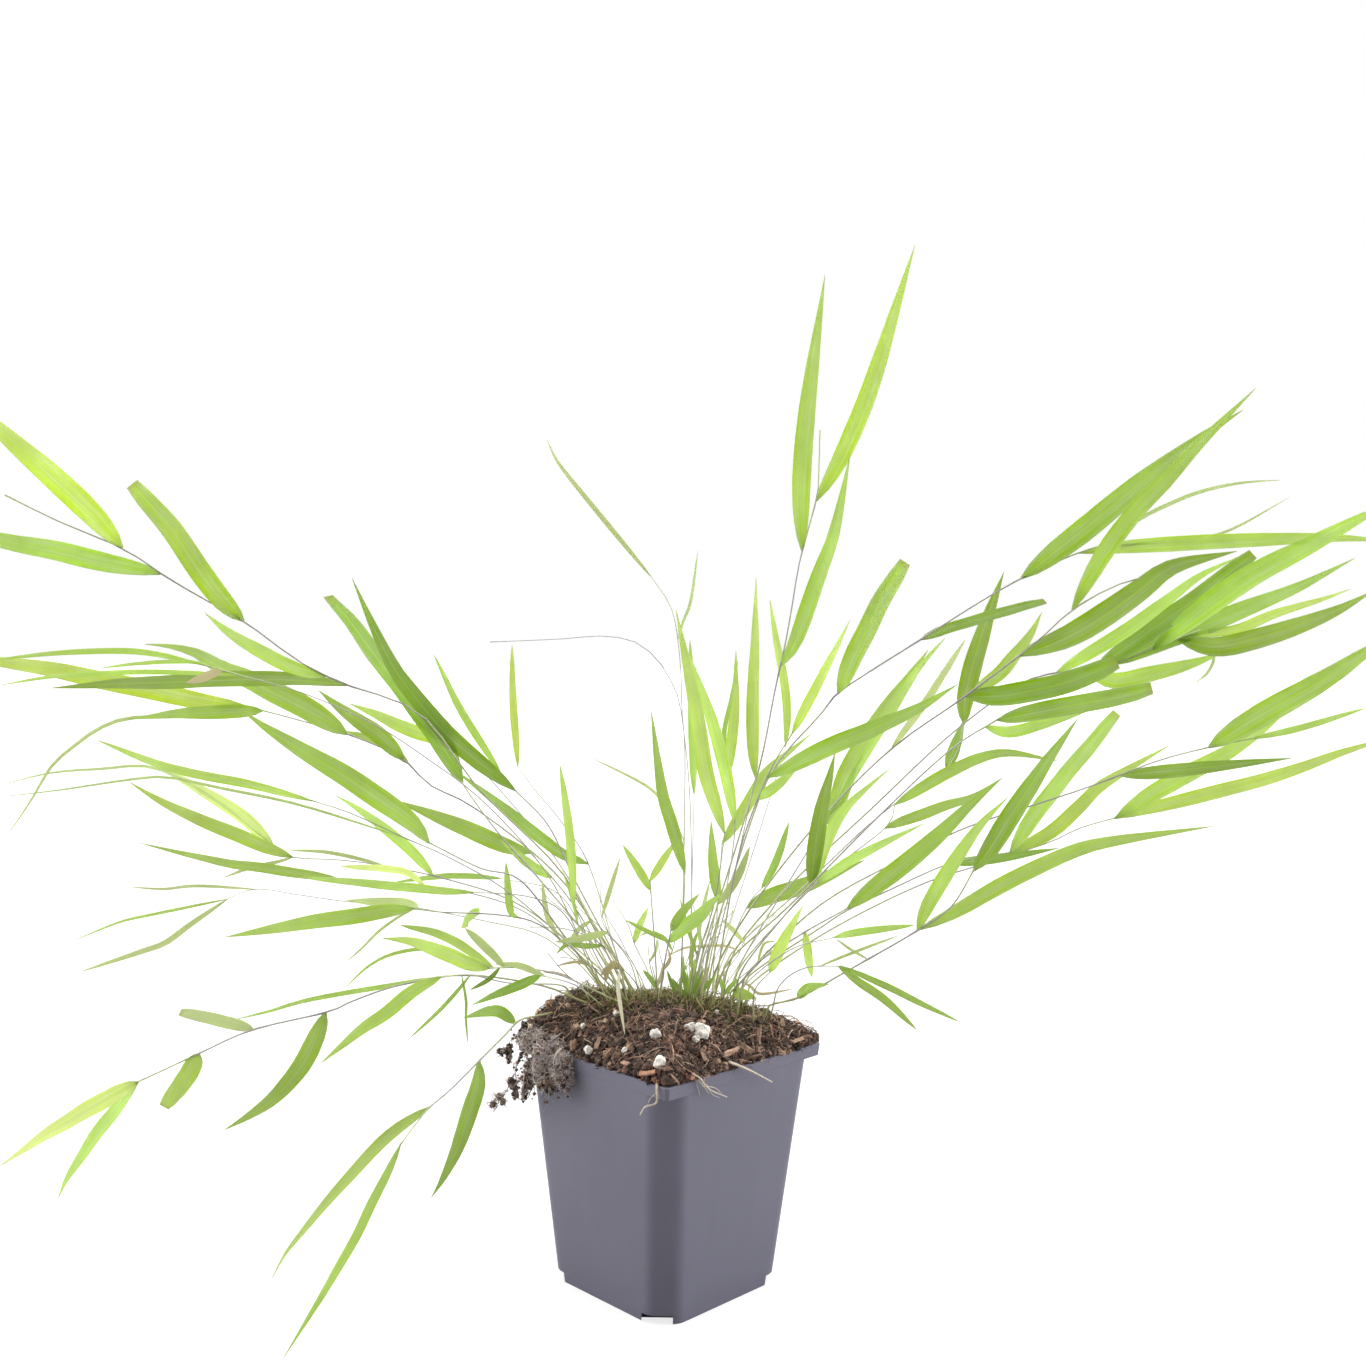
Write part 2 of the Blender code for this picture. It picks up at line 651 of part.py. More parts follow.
def finish(name, bm, home, slot=None):
    # Turns a bmesh into a named object; pieces without a material are only tools
    bmesh.ops.recalc_face_normals(bm, faces=bm.faces)
    mesh = bpy.data.meshes.new(name)
    bm.to_mesh(mesh)
    bm.free()
    made = bpy.data.objects.new(name, mesh)
    home.objects.link(made)
    if slot:
        mesh.materials.append(material(slot))
    else:
        made.hide_render = True
        made.display_type = "WIRE"
    return made


def boolean(target, operation, tool=None, group=None):
    step = target.modifiers.new(operation.lower(), "BOOLEAN")
    step.operation = operation
    step.solver = "EXACT"
    if group:
        step.operand_type = "COLLECTION"
        step.collection = group
    else:
        step.object = tool
    return step


def pot_half(z):
    # Half the pot's outer width at height z, along the straight taper
    return (BASE_WIDTH + (POT_WIDTH - BASE_WIDTH) * z / POT_HEIGHT) / 2


def corner_cut(z):
    return CORNER_CUT_BASE + (CORNER_CUT_TOP - CORNER_CUT_BASE) * z / POT_HEIGHT


def inner_cut(z, offset):
    # The corner face moves in by the same offset as the walls
    return corner_cut(z) - (2 - math.sqrt(2)) * offset


def tapered_block(low, high, half, cut):
    # A square block whose upright corners are cut flat; half and cut are functions of height
    bm = bmesh.new()
    bmesh.ops.create_cube(bm, size=2.0)
    upright = [e for e in bm.edges if abs(e.verts[0].co.z - e.verts[1].co.z) > 1.0]
    bmesh.ops.bevel(bm, geom=upright, offset=0.5, segments=1, affect="EDGES")
    for v in bm.verts:
        z = high if v.co.z > 0 else low
        along_x = abs(v.co.x) > abs(v.co.y)
        wide, narrow = half(z), half(z) - cut(z)
        v.co.x = math.copysign(wide if along_x else narrow, v.co.x)
        v.co.y = math.copysign(narrow if along_x else wide, v.co.y)
        v.co.z = z
    bmesh.ops.rotate(bm, verts=bm.verts, matrix=Matrix.Rotation(math.radians(45), 3, "Z"))
    return bm


def corner_steps(name, grow, home):
    # The stepped-in foot of each pot corner as four boxes, grown by a margin
    corner = (2 * pot_half(0) - CORNER_CUT_BASE) / math.sqrt(2)
    bm = bmesh.new()
    for turn, (start, end, height) in enumerate(STEPS):
        size = (2 * (STEP_DEPTH + grow), end - start + 2 * grow, 2 * (height + grow), 1)
        spot = (Matrix.Rotation(math.radians(90 * turn), 4, "Z")
                @ Matrix.Translation((corner, (start + end) / 2, 0)) @ Matrix.Diagonal(size))
        bmesh.ops.create_cube(bm, size=1.0, matrix=spot)
    return finish(name, bm, home)


def make_pot(parts, cutters):
    rim_low = POT_HEIGHT - RIM_HEIGHT
    pot = finish("pot", tapered_block(0, rim_low + RIM_STEP, pot_half, corner_cut), parts, "pot_grey")
    rim = finish("rim_band", tapered_block(rim_low, POT_HEIGHT, lambda z: pot_half(z) + RIM_STEP,
                                           lambda z: RIM_CORNER), cutters)
    cavity = finish("pot_cavity", tapered_block(FLOOR_THICKNESS, POT_HEIGHT + RIM_HEIGHT,
                                                lambda z: pot_half(z) - WALL,
                                                lambda z: inner_cut(z, WALL)), cutters)
    boolean(cavity, "DIFFERENCE", corner_steps("step_walls", WALL, cutters))
    drains = bmesh.new()
    for turn in range(4):
        spot = (Matrix.Rotation(math.radians(90 * turn + 45), 4, "Z")
                @ Matrix.Translation((DRAIN_SPACING / 2, 0, 0)))
        bmesh.ops.create_cone(drains, cap_ends=True, segments=8, radius1=DRAIN_RADIUS,
                              radius2=DRAIN_RADIUS, depth=4 * FLOOR_THICKNESS, matrix=spot)
    drains = finish("drain_holes", drains, cutters)
    boolean(pot, "UNION", rim)
    for tool in (cavity, corner_steps("steps", 0, cutters), drains):
        boolean(pot, "DIFFERENCE", tool)


def soil_height(x, y):
    # The mound over the rim, lower at the back and the right, with a steeper heap beside the left corner
    corner = POT_WIDTH / math.sqrt(2)
    reach = (abs(x) + abs(y)) / corner
    mound = SOIL_CREST * max(0.0, 1 - reach ** SOIL_FLATNESS)
    mound *= 1 - SOIL_BACK_FALL * min(1.0, max(0.0, (y - SOIL_BACK_FROM) / (corner - SOIL_BACK_FROM)))
    mound *= 1 - SOIL_RIGHT_FALL * min(1.0, max(0.0, x / corner))
    away = (x - HEAP_PLACE[0]) ** 2 + (y - HEAP_PLACE[1]) ** 2
    heap = HEAP_HEIGHT * math.exp(-away / (2 * HEAP_SPREAD ** 2)) * max(0.0, 1 - reach ** HEAP_FLATNESS)
    fade = min(1.0, 4 * max(0.0, 1.05 - reach))
    lumps = SOIL_LUMP * noise.noise(Vector((x, y, 0.0)) * LUMPS_PER_METRE) * fade
    return POT_HEIGHT + SOIL_EDGE + mound + heap + lumps


def inside_corner(x, y, half, cut):
    # Keeps a point of the square plan behind the cut corner
    over = abs(x) + abs(y) - (2 * half - cut)
    if over > 0:
        x -= math.copysign(over / 2, x)
        y -= math.copysign(over / 2, y)
    return x, y


def make_clump(parts, cutters):
    # Lumps and strands grown together, trimmed flat where they lie against the rim
    clump = None
    pieces = collection("clump_pieces", cutters)
    for number, (centre, size) in enumerate(CLUMP_LUMPS):
        bm = bmesh.new()
        bmesh.ops.create_icosphere(bm, subdivisions=2 if size[0] > CLUMP_FINE else 1, radius=1.0)
        for v in bm.verts:
            rough = 1 + CLUMP_ROUGHNESS * noise.noise(v.co * 1.7 + Vector((number, 0, 0)))
            v.co = Vector(centre) / 1000 + Vector(s * c * rough for s, c in zip(size, v.co)) / 1000
        lump = finish(f"clump_lump_{number}", bm, pieces if clump else parts,
                      None if clump else "clump_brown")
        clump = clump or lump
    clump.name = "root_clump"
    for number, strand in enumerate(CLUMP_STRANDS):
        line = [Vector(p) / 1000 for p in strand]
        tube(f"clump_strand_{number}", line, [CLUMP_STRAND_RADIUS] * len(line), pieces)
    clear = POT_WIDTH / 2 + RIM_STEP + GAP
    low, high = POT_HEIGHT * 0.6, POT_HEIGHT * 1.3
    trim = finish("clump_trim", tapered_block(low, high, lambda z: clear, lambda z: RIM_CORNER), cutters)
    boolean(clump, "UNION", group=pieces)
    boolean(clump, "DIFFERENCE", trim)


def make_rim_roots(parts):
    for name, places in RIM_ROOTS.items():
        line = [placed(u, v, depth / 1000) for u, v, depth in places]
        tube(name, line, [RIM_ROOT_RADIUS] * len(line), parts, "root_cream")


def make_soil(parts, cutters, sockets):
    bm = bmesh.new()
    bmesh.ops.create_grid(bm, x_segments=SOIL_CELLS, y_segments=SOIL_CELLS, size=1.0)
    quarter = Matrix.Rotation(math.radians(45), 3, "Z")
    plan = {v: v.co.copy() for v in bm.verts}
    for v in bm.verts:
        spot = quarter @ (v.co * SOIL_SIDE)
        v.co = (spot.x, spot.y, soil_height(spot.x, spot.y))
    shelf = POT_HEIGHT + GAP
    floor = FLOOR_THICKNESS + GAP
    levels = (
        (shelf, SOIL_SIDE - SOIL_EDGE / 4, 2 * RIM_CORNER),
        (shelf, pot_half(POT_HEIGHT) - WALL - GAP, inner_cut(POT_HEIGHT, WALL + GAP)),
        (floor, pot_half(floor) - WALL - GAP, inner_cut(floor, WALL + GAP)),
    )
    top = list(bm.faces)
    edge = [e for e in bm.edges if e.is_boundary]
    source = {v: plan[v] for e in edge for v in e.verts}
    for z, half, cut in levels:
        made = bmesh.ops.extrude_edge_only(bm, edges=edge)["geom"]
        edge = [g for g in made if isinstance(g, bmesh.types.BMEdge) and g.is_boundary]
        fresh = {v for e in edge for v in e.verts}
        older = source
        source = {}
        for v in fresh:
            near = min(older, key=lambda o: (o.co - v.co).length)
            source[v] = older[near]
        for v, flat in source.items():
            x, y = inside_corner(flat.x * half, flat.y * half, half, cut)
            spot = quarter @ Vector((x, y, 0))
            v.co = (spot.x, spot.y, z)
    bmesh.ops.contextual_create(bm, geom=edge)
    soil = finish("soil", bm, parts, "soil_brown")
    boolean(soil, "DIFFERENCE", corner_steps("soil_steps", WALL + GAP, cutters))
    boolean(soil, "DIFFERENCE", group=sockets)


def placed(u, v, depth):
    # The point at a given depth, in metres behind the pot's axis, that shows at (u, v)
    across, down = u - PICTURE / 2, v - PICTURE / 2
    right = math.cos(EYE_ROLL) * across + math.sin(EYE_ROLL) * down
    up = math.sin(EYE_ROLL) * across - math.cos(EYE_ROLL) * down
    ray = Vector((right / EYE_FOCUS,
                  math.cos(EYE_PITCH) + math.sin(EYE_PITCH) * up / EYE_FOCUS,
                  math.cos(EYE_PITCH) * up / EYE_FOCUS - math.sin(EYE_PITCH)))
    eye = Vector((EYE_SIDE, -EYE_DISTANCE, EYE_HEIGHT))
    return eye + ray * ((depth + EYE_DISTANCE) / ray.y)


def smooth(points, t):
    # A point of the smooth curve through the given points, t from 0 to 1 along its length
    lengths = [(b - a).length for a, b in zip(points, points[1:])]
    goal = t * sum(lengths)
    i = 0
    while i < len(lengths) - 1 and goal > lengths[i]:
        goal -= lengths[i]
        i += 1
    s = min(1.0, goal / lengths[i])
    before = points[i - 1] if i else points[0] * 2 - points[1]
    after = points[i + 2] if i + 2 < len(points) else points[-1] * 2 - points[-2]
    a, b = points[i], points[i + 1]
    return 0.5 * (2 * a + (b - before) * s + (2 * before - 5 * a + 4 * b - after) * s * s
                  + (3 * a - before - 3 * b + after) * s * s * s)


def culm_path(shoot):
    # The culm from its foot in the soil, near the line that its lower part points down, to its tip
    x, y = (value / 1000 for value in shoot["root"])
    y = max(y, FOOT_FRONT + FOOT_GATHER * (y - FOOT_FRONT))
    seen = [Vector(p) for p in shoot["culm"]]
    way = seen[0] - seen[1]
    if way.y > 4 and seen[0].y < FOOT_LINE:
        aimed = placed(*(seen[0] + way * (FOOT_LINE - seen[0].y) / way.y), y).x
        x = min(x + FOOT_SHIFT, max(x - FOOT_SHIFT, aimed))
    ground = Vector((x, y, soil_height(x, y)))
    first = placed(*seen[0], y)
    travelled = [(first - ground).length * EYE_FOCUS / EYE_DISTANCE]
    for a, b in zip(seen, seen[1:]):
        travelled.append(travelled[-1] + (b - a).length)
    back = shoot["reach"] / 1000 - y
    points = [placed(*p, y + back * t / travelled[-1]) for p, t in zip(seen, travelled)]
    start = (points[0] - ground).normalized()
    points = [ground + start * SOCKET_RISE] + points
    length = sum((b - a).length for a, b in zip(points, points[1:]))
    count = max(2, min(8, round(length / SEGMENT_LENGTH)))
    return [ground - start * CULM_DEPTH] + [smooth(points, i / count) for i in range(count + 1)]


def showing(p):
    # Where a point in space shows in the picture
    view = p - Vector((EYE_SIDE, -EYE_DISTANCE, EYE_HEIGHT))
    depth = view.y * math.cos(EYE_PITCH) - view.z * math.sin(EYE_PITCH)
    right = EYE_FOCUS * view.x / depth
    up = EYE_FOCUS * (view.y * math.sin(EYE_PITCH) + view.z * math.cos(EYE_PITCH)) / depth
    return Vector((PICTURE / 2 + math.cos(EYE_ROLL) * right + math.sin(EYE_ROLL) * up,
                   PICTURE / 2 + math.sin(EYE_ROLL) * right - math.cos(EYE_ROLL) * up))


def nearest_on(path, target):
    # The place on the culm, short of its tip, that shows nearest to a picture point
    tip = path[-1] + (path[-2] - path[-1]).normalized() * LEAF_SETBACK
    steps = 60
    places = [a.lerp(b, i / steps) for a, b in zip(path[1:], path[2:-1] + [tip]) for i in range(steps + 1)]
    return min(places, key=lambda p: (showing(p) - Vector(target)).length)


def tube(name, points, radii, home, slot=None):
    curve = bpy.data.curves.new(name, "CURVE")
    curve.dimensions = "3D"
    curve.bevel_depth = 1.0
    curve.bevel_resolution = 0
    curve.use_fill_caps = True
    spline = curve.splines.new("POLY")
    spline.points.add(len(points) - 1)
    for knot, p, radius in zip(spline.points, points, radii):
        knot.co = (*p, 1.0)
        knot.radius = radius
    guide = bpy.data.objects.new(name + "_line", curve)
    bpy.context.scene.collection.objects.link(guide)
    bpy.context.view_layer.update()
    shape = bpy.data.meshes.new_from_object(guide.evaluated_get(bpy.context.evaluated_depsgraph_get()))
    bpy.data.objects.remove(guide)
    bm = bmesh.new()
    bm.from_mesh(shape)
    bpy.data.meshes.remove(shape)
    bmesh.ops.remove_doubles(bm, verts=bm.verts, dist=1e-6)
    return finish(name, bm, home, slot)


def blade_solid(name, points, half, taper, facing, home):
    # A flat blade with a low ridge along its midrib
    bm = bmesh.new()
    bmesh.ops.create_cone(bm, cap_ends=True, segments=3, radius1=1, radius2=1, depth=1)
    long_edges = [e for e in bm.edges if abs(e.verts[0].co.z - e.verts[1].co.z) > 0.5]
    last = len(taper) - 1
    bmesh.ops.subdivide_edges(bm, edges=long_edges, cuts=last - 1, use_grid_fill=True)
    nudge = 0.04
    for v in bm.verts:
        t, share = taper[round((v.co.z + 0.5) * last)]
        here = smooth(points, t)
        along = (smooth(points, min(1, t + nudge)) - smooth(points, max(0, t - nudge))).normalized()
        across = along.cross(facing).normalized()
        wide = half * share or BLADE_BASE
        ridge = max(min(LEAST_RIDGE, wide), wide * BLADE_RIDGE)
        if abs(v.co.x) < 0.1:
            v.co = here + across.cross(along) * ridge / 2
        else:
            v.co = here + across * math.copysign(wide, v.co.x) - across.cross(along) * ridge / 2
    return finish(name, bm, home)


def make_shoot(name, shoot, parts, cutters, sockets):
    path = culm_path(shoot)
    last = len(path) - 1
    radii = [CULM_RADIUS + (CULM_TIP_RADIUS - CULM_RADIUS) * i / last for i in range(last + 1)]
    culm = tube(name, path, radii, parts, "leaf_green")
    start = (path[1] - path[0]).normalized()
    tube(name + "_socket", [path[0] - start * GAP, path[1]], [CULM_RADIUS + GAP] * 2, sockets)

    leaves = collection(name + "_leaves", cutters)
    spread = random.Random(name)
    for number, leaf in enumerate(shoot["leaves"]):
        base = nearest_on(path, leaf["run"][0])
        steps = len(leaf["run"]) - 1
        line = [base] + [placed(u, v, base.y + leaf["lean"] / 1000 * (i + 1) / steps)
                         for i, (u, v) in enumerate(leaf["run"][1:])]
        middle = line[len(line) // 2]
        along = (line[-1] - line[0]).normalized()
        to_eye = (Vector((EYE_SIDE, -EYE_DISTANCE, EYE_HEIGHT)) - middle).normalized()
        roll = Matrix.Rotation(spread.uniform(-BLADE_ROLL, BLADE_ROLL), 3, along)
        facing = roll @ (to_eye + Vector((0, 0, BLADE_LIFT))).normalized()
        turned = along.cross(facing).normalized().dot(along.cross(to_eye).normalized())
        half = leaf["width"] / 2 * (middle.y + EYE_DISTANCE) / EYE_FOCUS * min(MOST_WIDENING, 1 / turned)
        taper = CUT_TAPER if leaf["cut"] else THIN_TAPER if leaf["width"] <= THIN_WIDTH else TAPER
        blade_solid(f"{name}_leaf_{number}", line, half, taper, facing, leaves)
    boolean(culm, "UNION", group=leaves)


def main():
    for old in list(bpy.data.objects):
        bpy.data.objects.remove(old)
    parts = collection("potted_japanese_forest_grass")
    cutters = collection("cutters")
    sockets = collection("culm_sockets", cutters)
    make_pot(parts, cutters)
    for name, shoot in SHOOTS.items():
        make_shoot(name, shoot, parts, cutters, sockets)
    make_soil(parts, cutters, sockets)
    make_clump(parts, cutters)
    make_rim_roots(parts)


main()
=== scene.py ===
# Potted Japanese forest grass: an arching tuft of bright blades in a square slate-grey nursery pot
import math
import random

import bpy
import numpy as np
from mathutils import Matrix, Vector, noise


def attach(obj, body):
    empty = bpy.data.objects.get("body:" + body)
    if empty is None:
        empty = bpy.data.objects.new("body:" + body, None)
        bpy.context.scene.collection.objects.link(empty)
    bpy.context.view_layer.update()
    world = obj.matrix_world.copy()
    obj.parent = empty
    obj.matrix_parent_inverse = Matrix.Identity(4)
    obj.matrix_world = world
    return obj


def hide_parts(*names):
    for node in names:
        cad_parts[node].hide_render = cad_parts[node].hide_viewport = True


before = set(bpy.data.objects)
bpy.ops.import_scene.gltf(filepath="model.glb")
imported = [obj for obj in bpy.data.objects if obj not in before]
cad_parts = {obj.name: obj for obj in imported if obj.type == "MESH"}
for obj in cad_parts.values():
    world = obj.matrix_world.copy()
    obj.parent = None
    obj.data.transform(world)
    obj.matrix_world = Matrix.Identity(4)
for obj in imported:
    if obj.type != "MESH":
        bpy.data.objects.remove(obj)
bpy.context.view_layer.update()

# Where the picture was taken from: metres and degrees, and points of its 1366 by 1366 frame
eye = {
    "picture": 1366, "distance": 0.620, "height": 0.2814, "side": 0.0036,
    "pitch": math.radians(2.96), "roll": math.radians(0.91), "focus": 1506, "sensor": 36.0,
}
eyeAt = Vector((eye["side"], -eye["distance"], eye["height"]))
sinPitch, cosPitch = math.sin(eye["pitch"]), math.cos(eye["pitch"])
sinRoll, cosRoll = math.sin(eye["roll"]), math.cos(eye["roll"])


def placed(u, v, depth):
    # The point at a depth, in metres behind the pot's middle, that shows at (u, v)
    across, down = u - eye["picture"] / 2, v - eye["picture"] / 2
    right = (cosRoll * across + sinRoll * down) / eye["focus"]
    up = (sinRoll * across - cosRoll * down) / eye["focus"]
    ray = Vector((right, cosPitch + sinPitch * up, cosPitch * up - sinPitch))
    return eyeAt + ray * ((depth + eye["distance"]) / ray.y)


def showing(p):
    # Where a point in space shows in the picture
    view = p - eyeAt
    depth = view.y * cosPitch - view.z * sinPitch
    right = eye["focus"] * view.x / depth
    up = eye["focus"] * (view.y * sinPitch + view.z * cosPitch) / depth
    return Vector((eye["picture"] / 2 + cosRoll * right + sinRoll * up,
                   eye["picture"] / 2 + sinRoll * right - cosRoll * up))


def smooth(points, t):
    # A point of the smooth curve through the points, t from 0 to 1 along its length
    lengths = [(b - a).length for a, b in zip(points, points[1:])]
    goal, i = t * sum(lengths), 0
    while i < len(lengths) - 1 and goal > lengths[i]:
        goal -= lengths[i]
        i += 1
    s = min(1.0, goal / lengths[i])
    before = points[i - 1] if i else points[0] * 2 - points[1]
    after = points[i + 2] if i + 2 < len(points) else points[-1] * 2 - points[-2]
    a, b = points[i], points[i + 1]
    return 0.5 * (2 * a + (b - before) * s + (2 * before - 5 * a + 4 * b - after) * s * s
                  + (3 * a - before - 3 * b + after) * s * s * s)


def between(stops, t):
    # The value at t on the line through (t, value) stops
    for (t0, a), (t1, b) in zip(stops, stops[1:]):
        if t <= t1:
            return a + (b - a) * ((t - t0) / (t1 - t0))
    return stops[-1][1]


def unit(value):
    return min(1.0, max(0.0, value))


def makeOnly(*pieces):
    # Selects just these pieces, the first one active
    bpy.ops.object.select_all(action="DESELECT")
    for piece in pieces:
        piece.select_set(True)
    bpy.context.view_layer.objects.active = pieces[0]
    return pieces[0]


def inEdit(piece, *steps):
    # Takes the steps in edit mode on the whole piece
    makeOnly(piece)
    bpy.ops.object.mode_set(mode="EDIT")
    bpy.ops.mesh.select_all(action="SELECT")
    for step in steps:
        step()
    bpy.ops.object.mode_set(mode="OBJECT")
    return piece


def faceOut():
    bpy.ops.mesh.normals_make_consistent(inside=False)


def drawnUp(piece, rise, times):
    # Extrudes the whole piece straight up, this many times
    step = {"value": (0, 0, rise)}
    return inEdit(piece, *[lambda: bpy.ops.mesh.extrude_region_move(TRANSFORM_OT_translate=step)] * times)


def modified(piece, kind, **settings):
    # The piece with a modifier applied
    step = piece.modifiers.new("step", kind)
    for key, value in settings.items():
        setattr(step, key, value)
    makeOnly(piece)
    bpy.ops.object.modifier_apply(modifier=step.name)
    return piece


def named(piece, name):
    piece.name = piece.data.name = name
    return piece


def joined(pieces, name):
    makeOnly(*pieces)
    if len(pieces) > 1:
        bpy.ops.object.join()
    return named(pieces[0], name)


def settled(piece, slot, *nodes):
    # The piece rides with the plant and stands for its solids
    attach(piece, "root")
    if nodes:
        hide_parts(*nodes)
    return piece


def dressed(piece, material):
    piece.data.materials.append(material)
    return piece


def linked(name, data):
    piece = bpy.data.objects.new(name, data)
    bpy.context.scene.collection.objects.link(piece)
    return piece


def shadedBy(piece, label, values):
    # Gives each point of the piece its own value for the material to read
    values = values if hasattr(values, "__len__") else [values] * len(piece.data.vertices)
    piece.data.attributes.new(label, "FLOAT", "POINT").data.foreach_set("value", values)
    return piece


class Nodes:
    # A shader tree, and short ways to add nodes to it. Each gives back an output of its node
    def __init__(self, tree):
        self.tree = tree

    def feed(self, socket, value):
        if isinstance(value, bpy.types.NodeSocket):
            self.tree.links.new(value, socket)
        else:
            socket.default_value = value

    def node(self, kind, inputs=(), **settings):
        made = self.tree.nodes.new("ShaderNode" + kind)
        for key, value in settings.items():
            setattr(made, key, value)
        for key, value in dict(inputs).items():
            self.feed(made.inputs[key], value)
        return made

    def add(self, kind, inputs=(), out=0, **settings):
        return self.node(kind, inputs, **settings).outputs[out]

    def place(self):
        return self.add("TexCoord", out="Object")

    def own(self, name, out="Fac"):
        return self.add("Attribute", out=out, attribute_name=name)

    def axis(self, vector, name):
        return self.add("SeparateXYZ", {"Vector": vector}, name)

    def noise(self, place, scale, detail=2.0, roughness=0.5):
        return self.add("TexNoise", {"Vector": place, "Scale": scale, "Detail": detail,
                                     "Roughness": roughness})

    def ranged(self, value, start=(0.0, 1.0), end=(0.0, 1.0), **settings):
        # The value mapped from one range to another
        return self.add("MapRange", {"Value": value, "From Min": start[0], "From Max": start[1],
                                     "To Min": end[0], "To Max": end[1]}, **settings)

    def math(self, operation, *values):
        return self.add("Math", enumerate(values), operation=operation)

    def scaled(self, vector, share):
        return self.add("VectorMath", {0: vector, "Scale": share}, operation="SCALE")

    def mixed(self, share, first, second, **settings):
        return self.add("MixRGB", {"Fac": share, "Color1": first, "Color2": second}, **settings)

    def ramp(self, value, *stops):
        # A colour ramp with (position, red, green, blue) stops
        made = self.node("ValToRGB", {"Fac": value})
        bar = made.color_ramp.elements
        while len(bar) < len(stops):
            bar.new(0.5)
        for mark, (place, *colour) in zip(bar, stops):
            mark.position, mark.color = place, (*colour, 1.0)
        return made.outputs["Color"]


def makeMottle():
    # Blotches of a darker and a lighter tone over a colour, and a height to match
    group = Nodes(bpy.data.node_groups.new("mottle", "ShaderNodeTree"))
    for label, kind, side in (("Colour", "Color", "INPUT"), ("Size", "Float", "INPUT"),
                              ("Amount", "Float", "INPUT"), ("Place", "Vector", "INPUT"),
                              ("Colour", "Color", "OUTPUT"), ("Height", "Float", "OUTPUT")):
        group.tree.interface.new_socket(label, in_out=side, socket_type="NodeSocket" + kind)
    given, out = (group.tree.nodes.new("NodeGroup" + side) for side in ("Input", "Output"))
    given, out = given.outputs, out.inputs
    height = group.noise(given["Place"], given["Size"], detail=4.0, roughness=0.6)
    share = group.math("MULTIPLY", group.ranged(height, (0.3, 0.7), (-1.0, 1.0)), given["Amount"])
    group.feed(out["Colour"], group.scaled(given["Colour"], group.math("ADD", share, 1.0)))
    group.feed(out["Height"], height)
    return group.tree


mottle = makeMottle()


class Skin(Nodes):
    # A Principled material
    def __init__(self, name, roughness=0.5):
        self.made = bpy.data.materials.new(name)
        self.made.use_nodes = True
        super().__init__(self.made.node_tree)
        self.shader = self.tree.nodes["Principled BSDF"]
        self.set("Roughness", roughness)
        self.set("Metallic", 0.0)

    def set(self, label, value):
        self.feed(self.shader.inputs[label], value)

    def mottled(self, colour, size, amount):
        made = self.node("Group", {"Colour": colour, "Size": size, "Amount": amount, "Place": self.place()},
                         node_tree=mottle)
        return made.outputs["Colour"], made.outputs["Height"]

    def bump(self, height, strength, distance):
        self.set("Normal", self.add("Bump", {"Height": height, "Strength": strength, "Distance": distance}))

    def speckled(self, colour, size, amount, strength=0.0, depth=0.0):
        # A mottled base colour, its light blotches raised where a depth is given
        colour, height = self.mottled(colour, size, amount)
        self.set("Base Color", colour)
        if depth:
            self.bump(height, strength, depth)


print("camera and helpers are ready")


# Pot

pot = {
    "width": 0.090, "height": 0.100, "base": 0.071, "wall": 0.0010, "floor": 0.0012,
    "rimHeight": 0.0050, "rimStep": 0.00015, "rimCorner": 0.0012,
    "cutTop": 0.0091, "cutBase": 0.0084,
    # Steps of the foot at the right corner, the back, the left and the front: from, to and height
    "steps": [(-0.0088, 0.0088, 0.0042)] * 3 + [(-0.0088, 0.0036, 0.0036)],
    "stepDepth": 0.006,
    "drainRadius": 0.0032, "drainSides": 28, "drainSpacing": 0.034,
    "softEdge": 0.0034, "softSteps": 5, "rimSoft": 0.0003, "smoothTo": math.radians(28),
    "colour": (0.172, 0.166, 0.221, 1), "roughness": (0.36, 0.50),
    "dust": (0.16, 0.12, 0.1, 1), "dustShare": 0.35, "dusty": (0.062, 0.1),
}
gap = 0.0003  # metres kept free between pieces that don't touch
eighth = Matrix.Rotation(math.radians(45), 3, "Z")  # the pot stands with a corner to the front


def potHalf(z):
    return (pot["base"] + (pot["width"] - pot["base"]) * z / pot["height"]) / 2


def cornerCut(z, inset=0.0):
    cut = pot["cutBase"] + (pot["cutTop"] - pot["cutBase"]) * z / pot["height"]
    return cut - (2 - math.sqrt(2)) * inset


def makePotMaterial():
    skin = Skin("slatePlastic")
    place = skin.place()
    cast, _height = skin.mottled(pot["colour"], size=22.0, amount=0.045)
    flow = skin.add("Mapping", {"Vector": place, "Scale": (260.0, 260.0, 6.0)})
    streaks = skin.ranged(skin.noise(flow, scale=1.0, detail=3.0), end=(0.96, 1.04))
    nearSoil = skin.ranged(skin.axis(place, "Z"), pot["dusty"])
    specks = skin.noise(place, scale=180.0, detail=6.0, roughness=0.7)
    dust = skin.math("MULTIPLY", skin.ranged(specks, (0.6, 0.72)), nearSoil)
    dust = skin.math("MULTIPLY", dust, pot["dustShare"])
    skin.set("Base Color", skin.mixed(dust, skin.scaled(cast, streaks), pot["dust"]))
    skin.set("Roughness", skin.ranged(specks, end=pot["roughness"]))
    skin.bump(skin.noise(place, scale=2600.0), strength=0.12, distance=0.0001)
    return skin.made


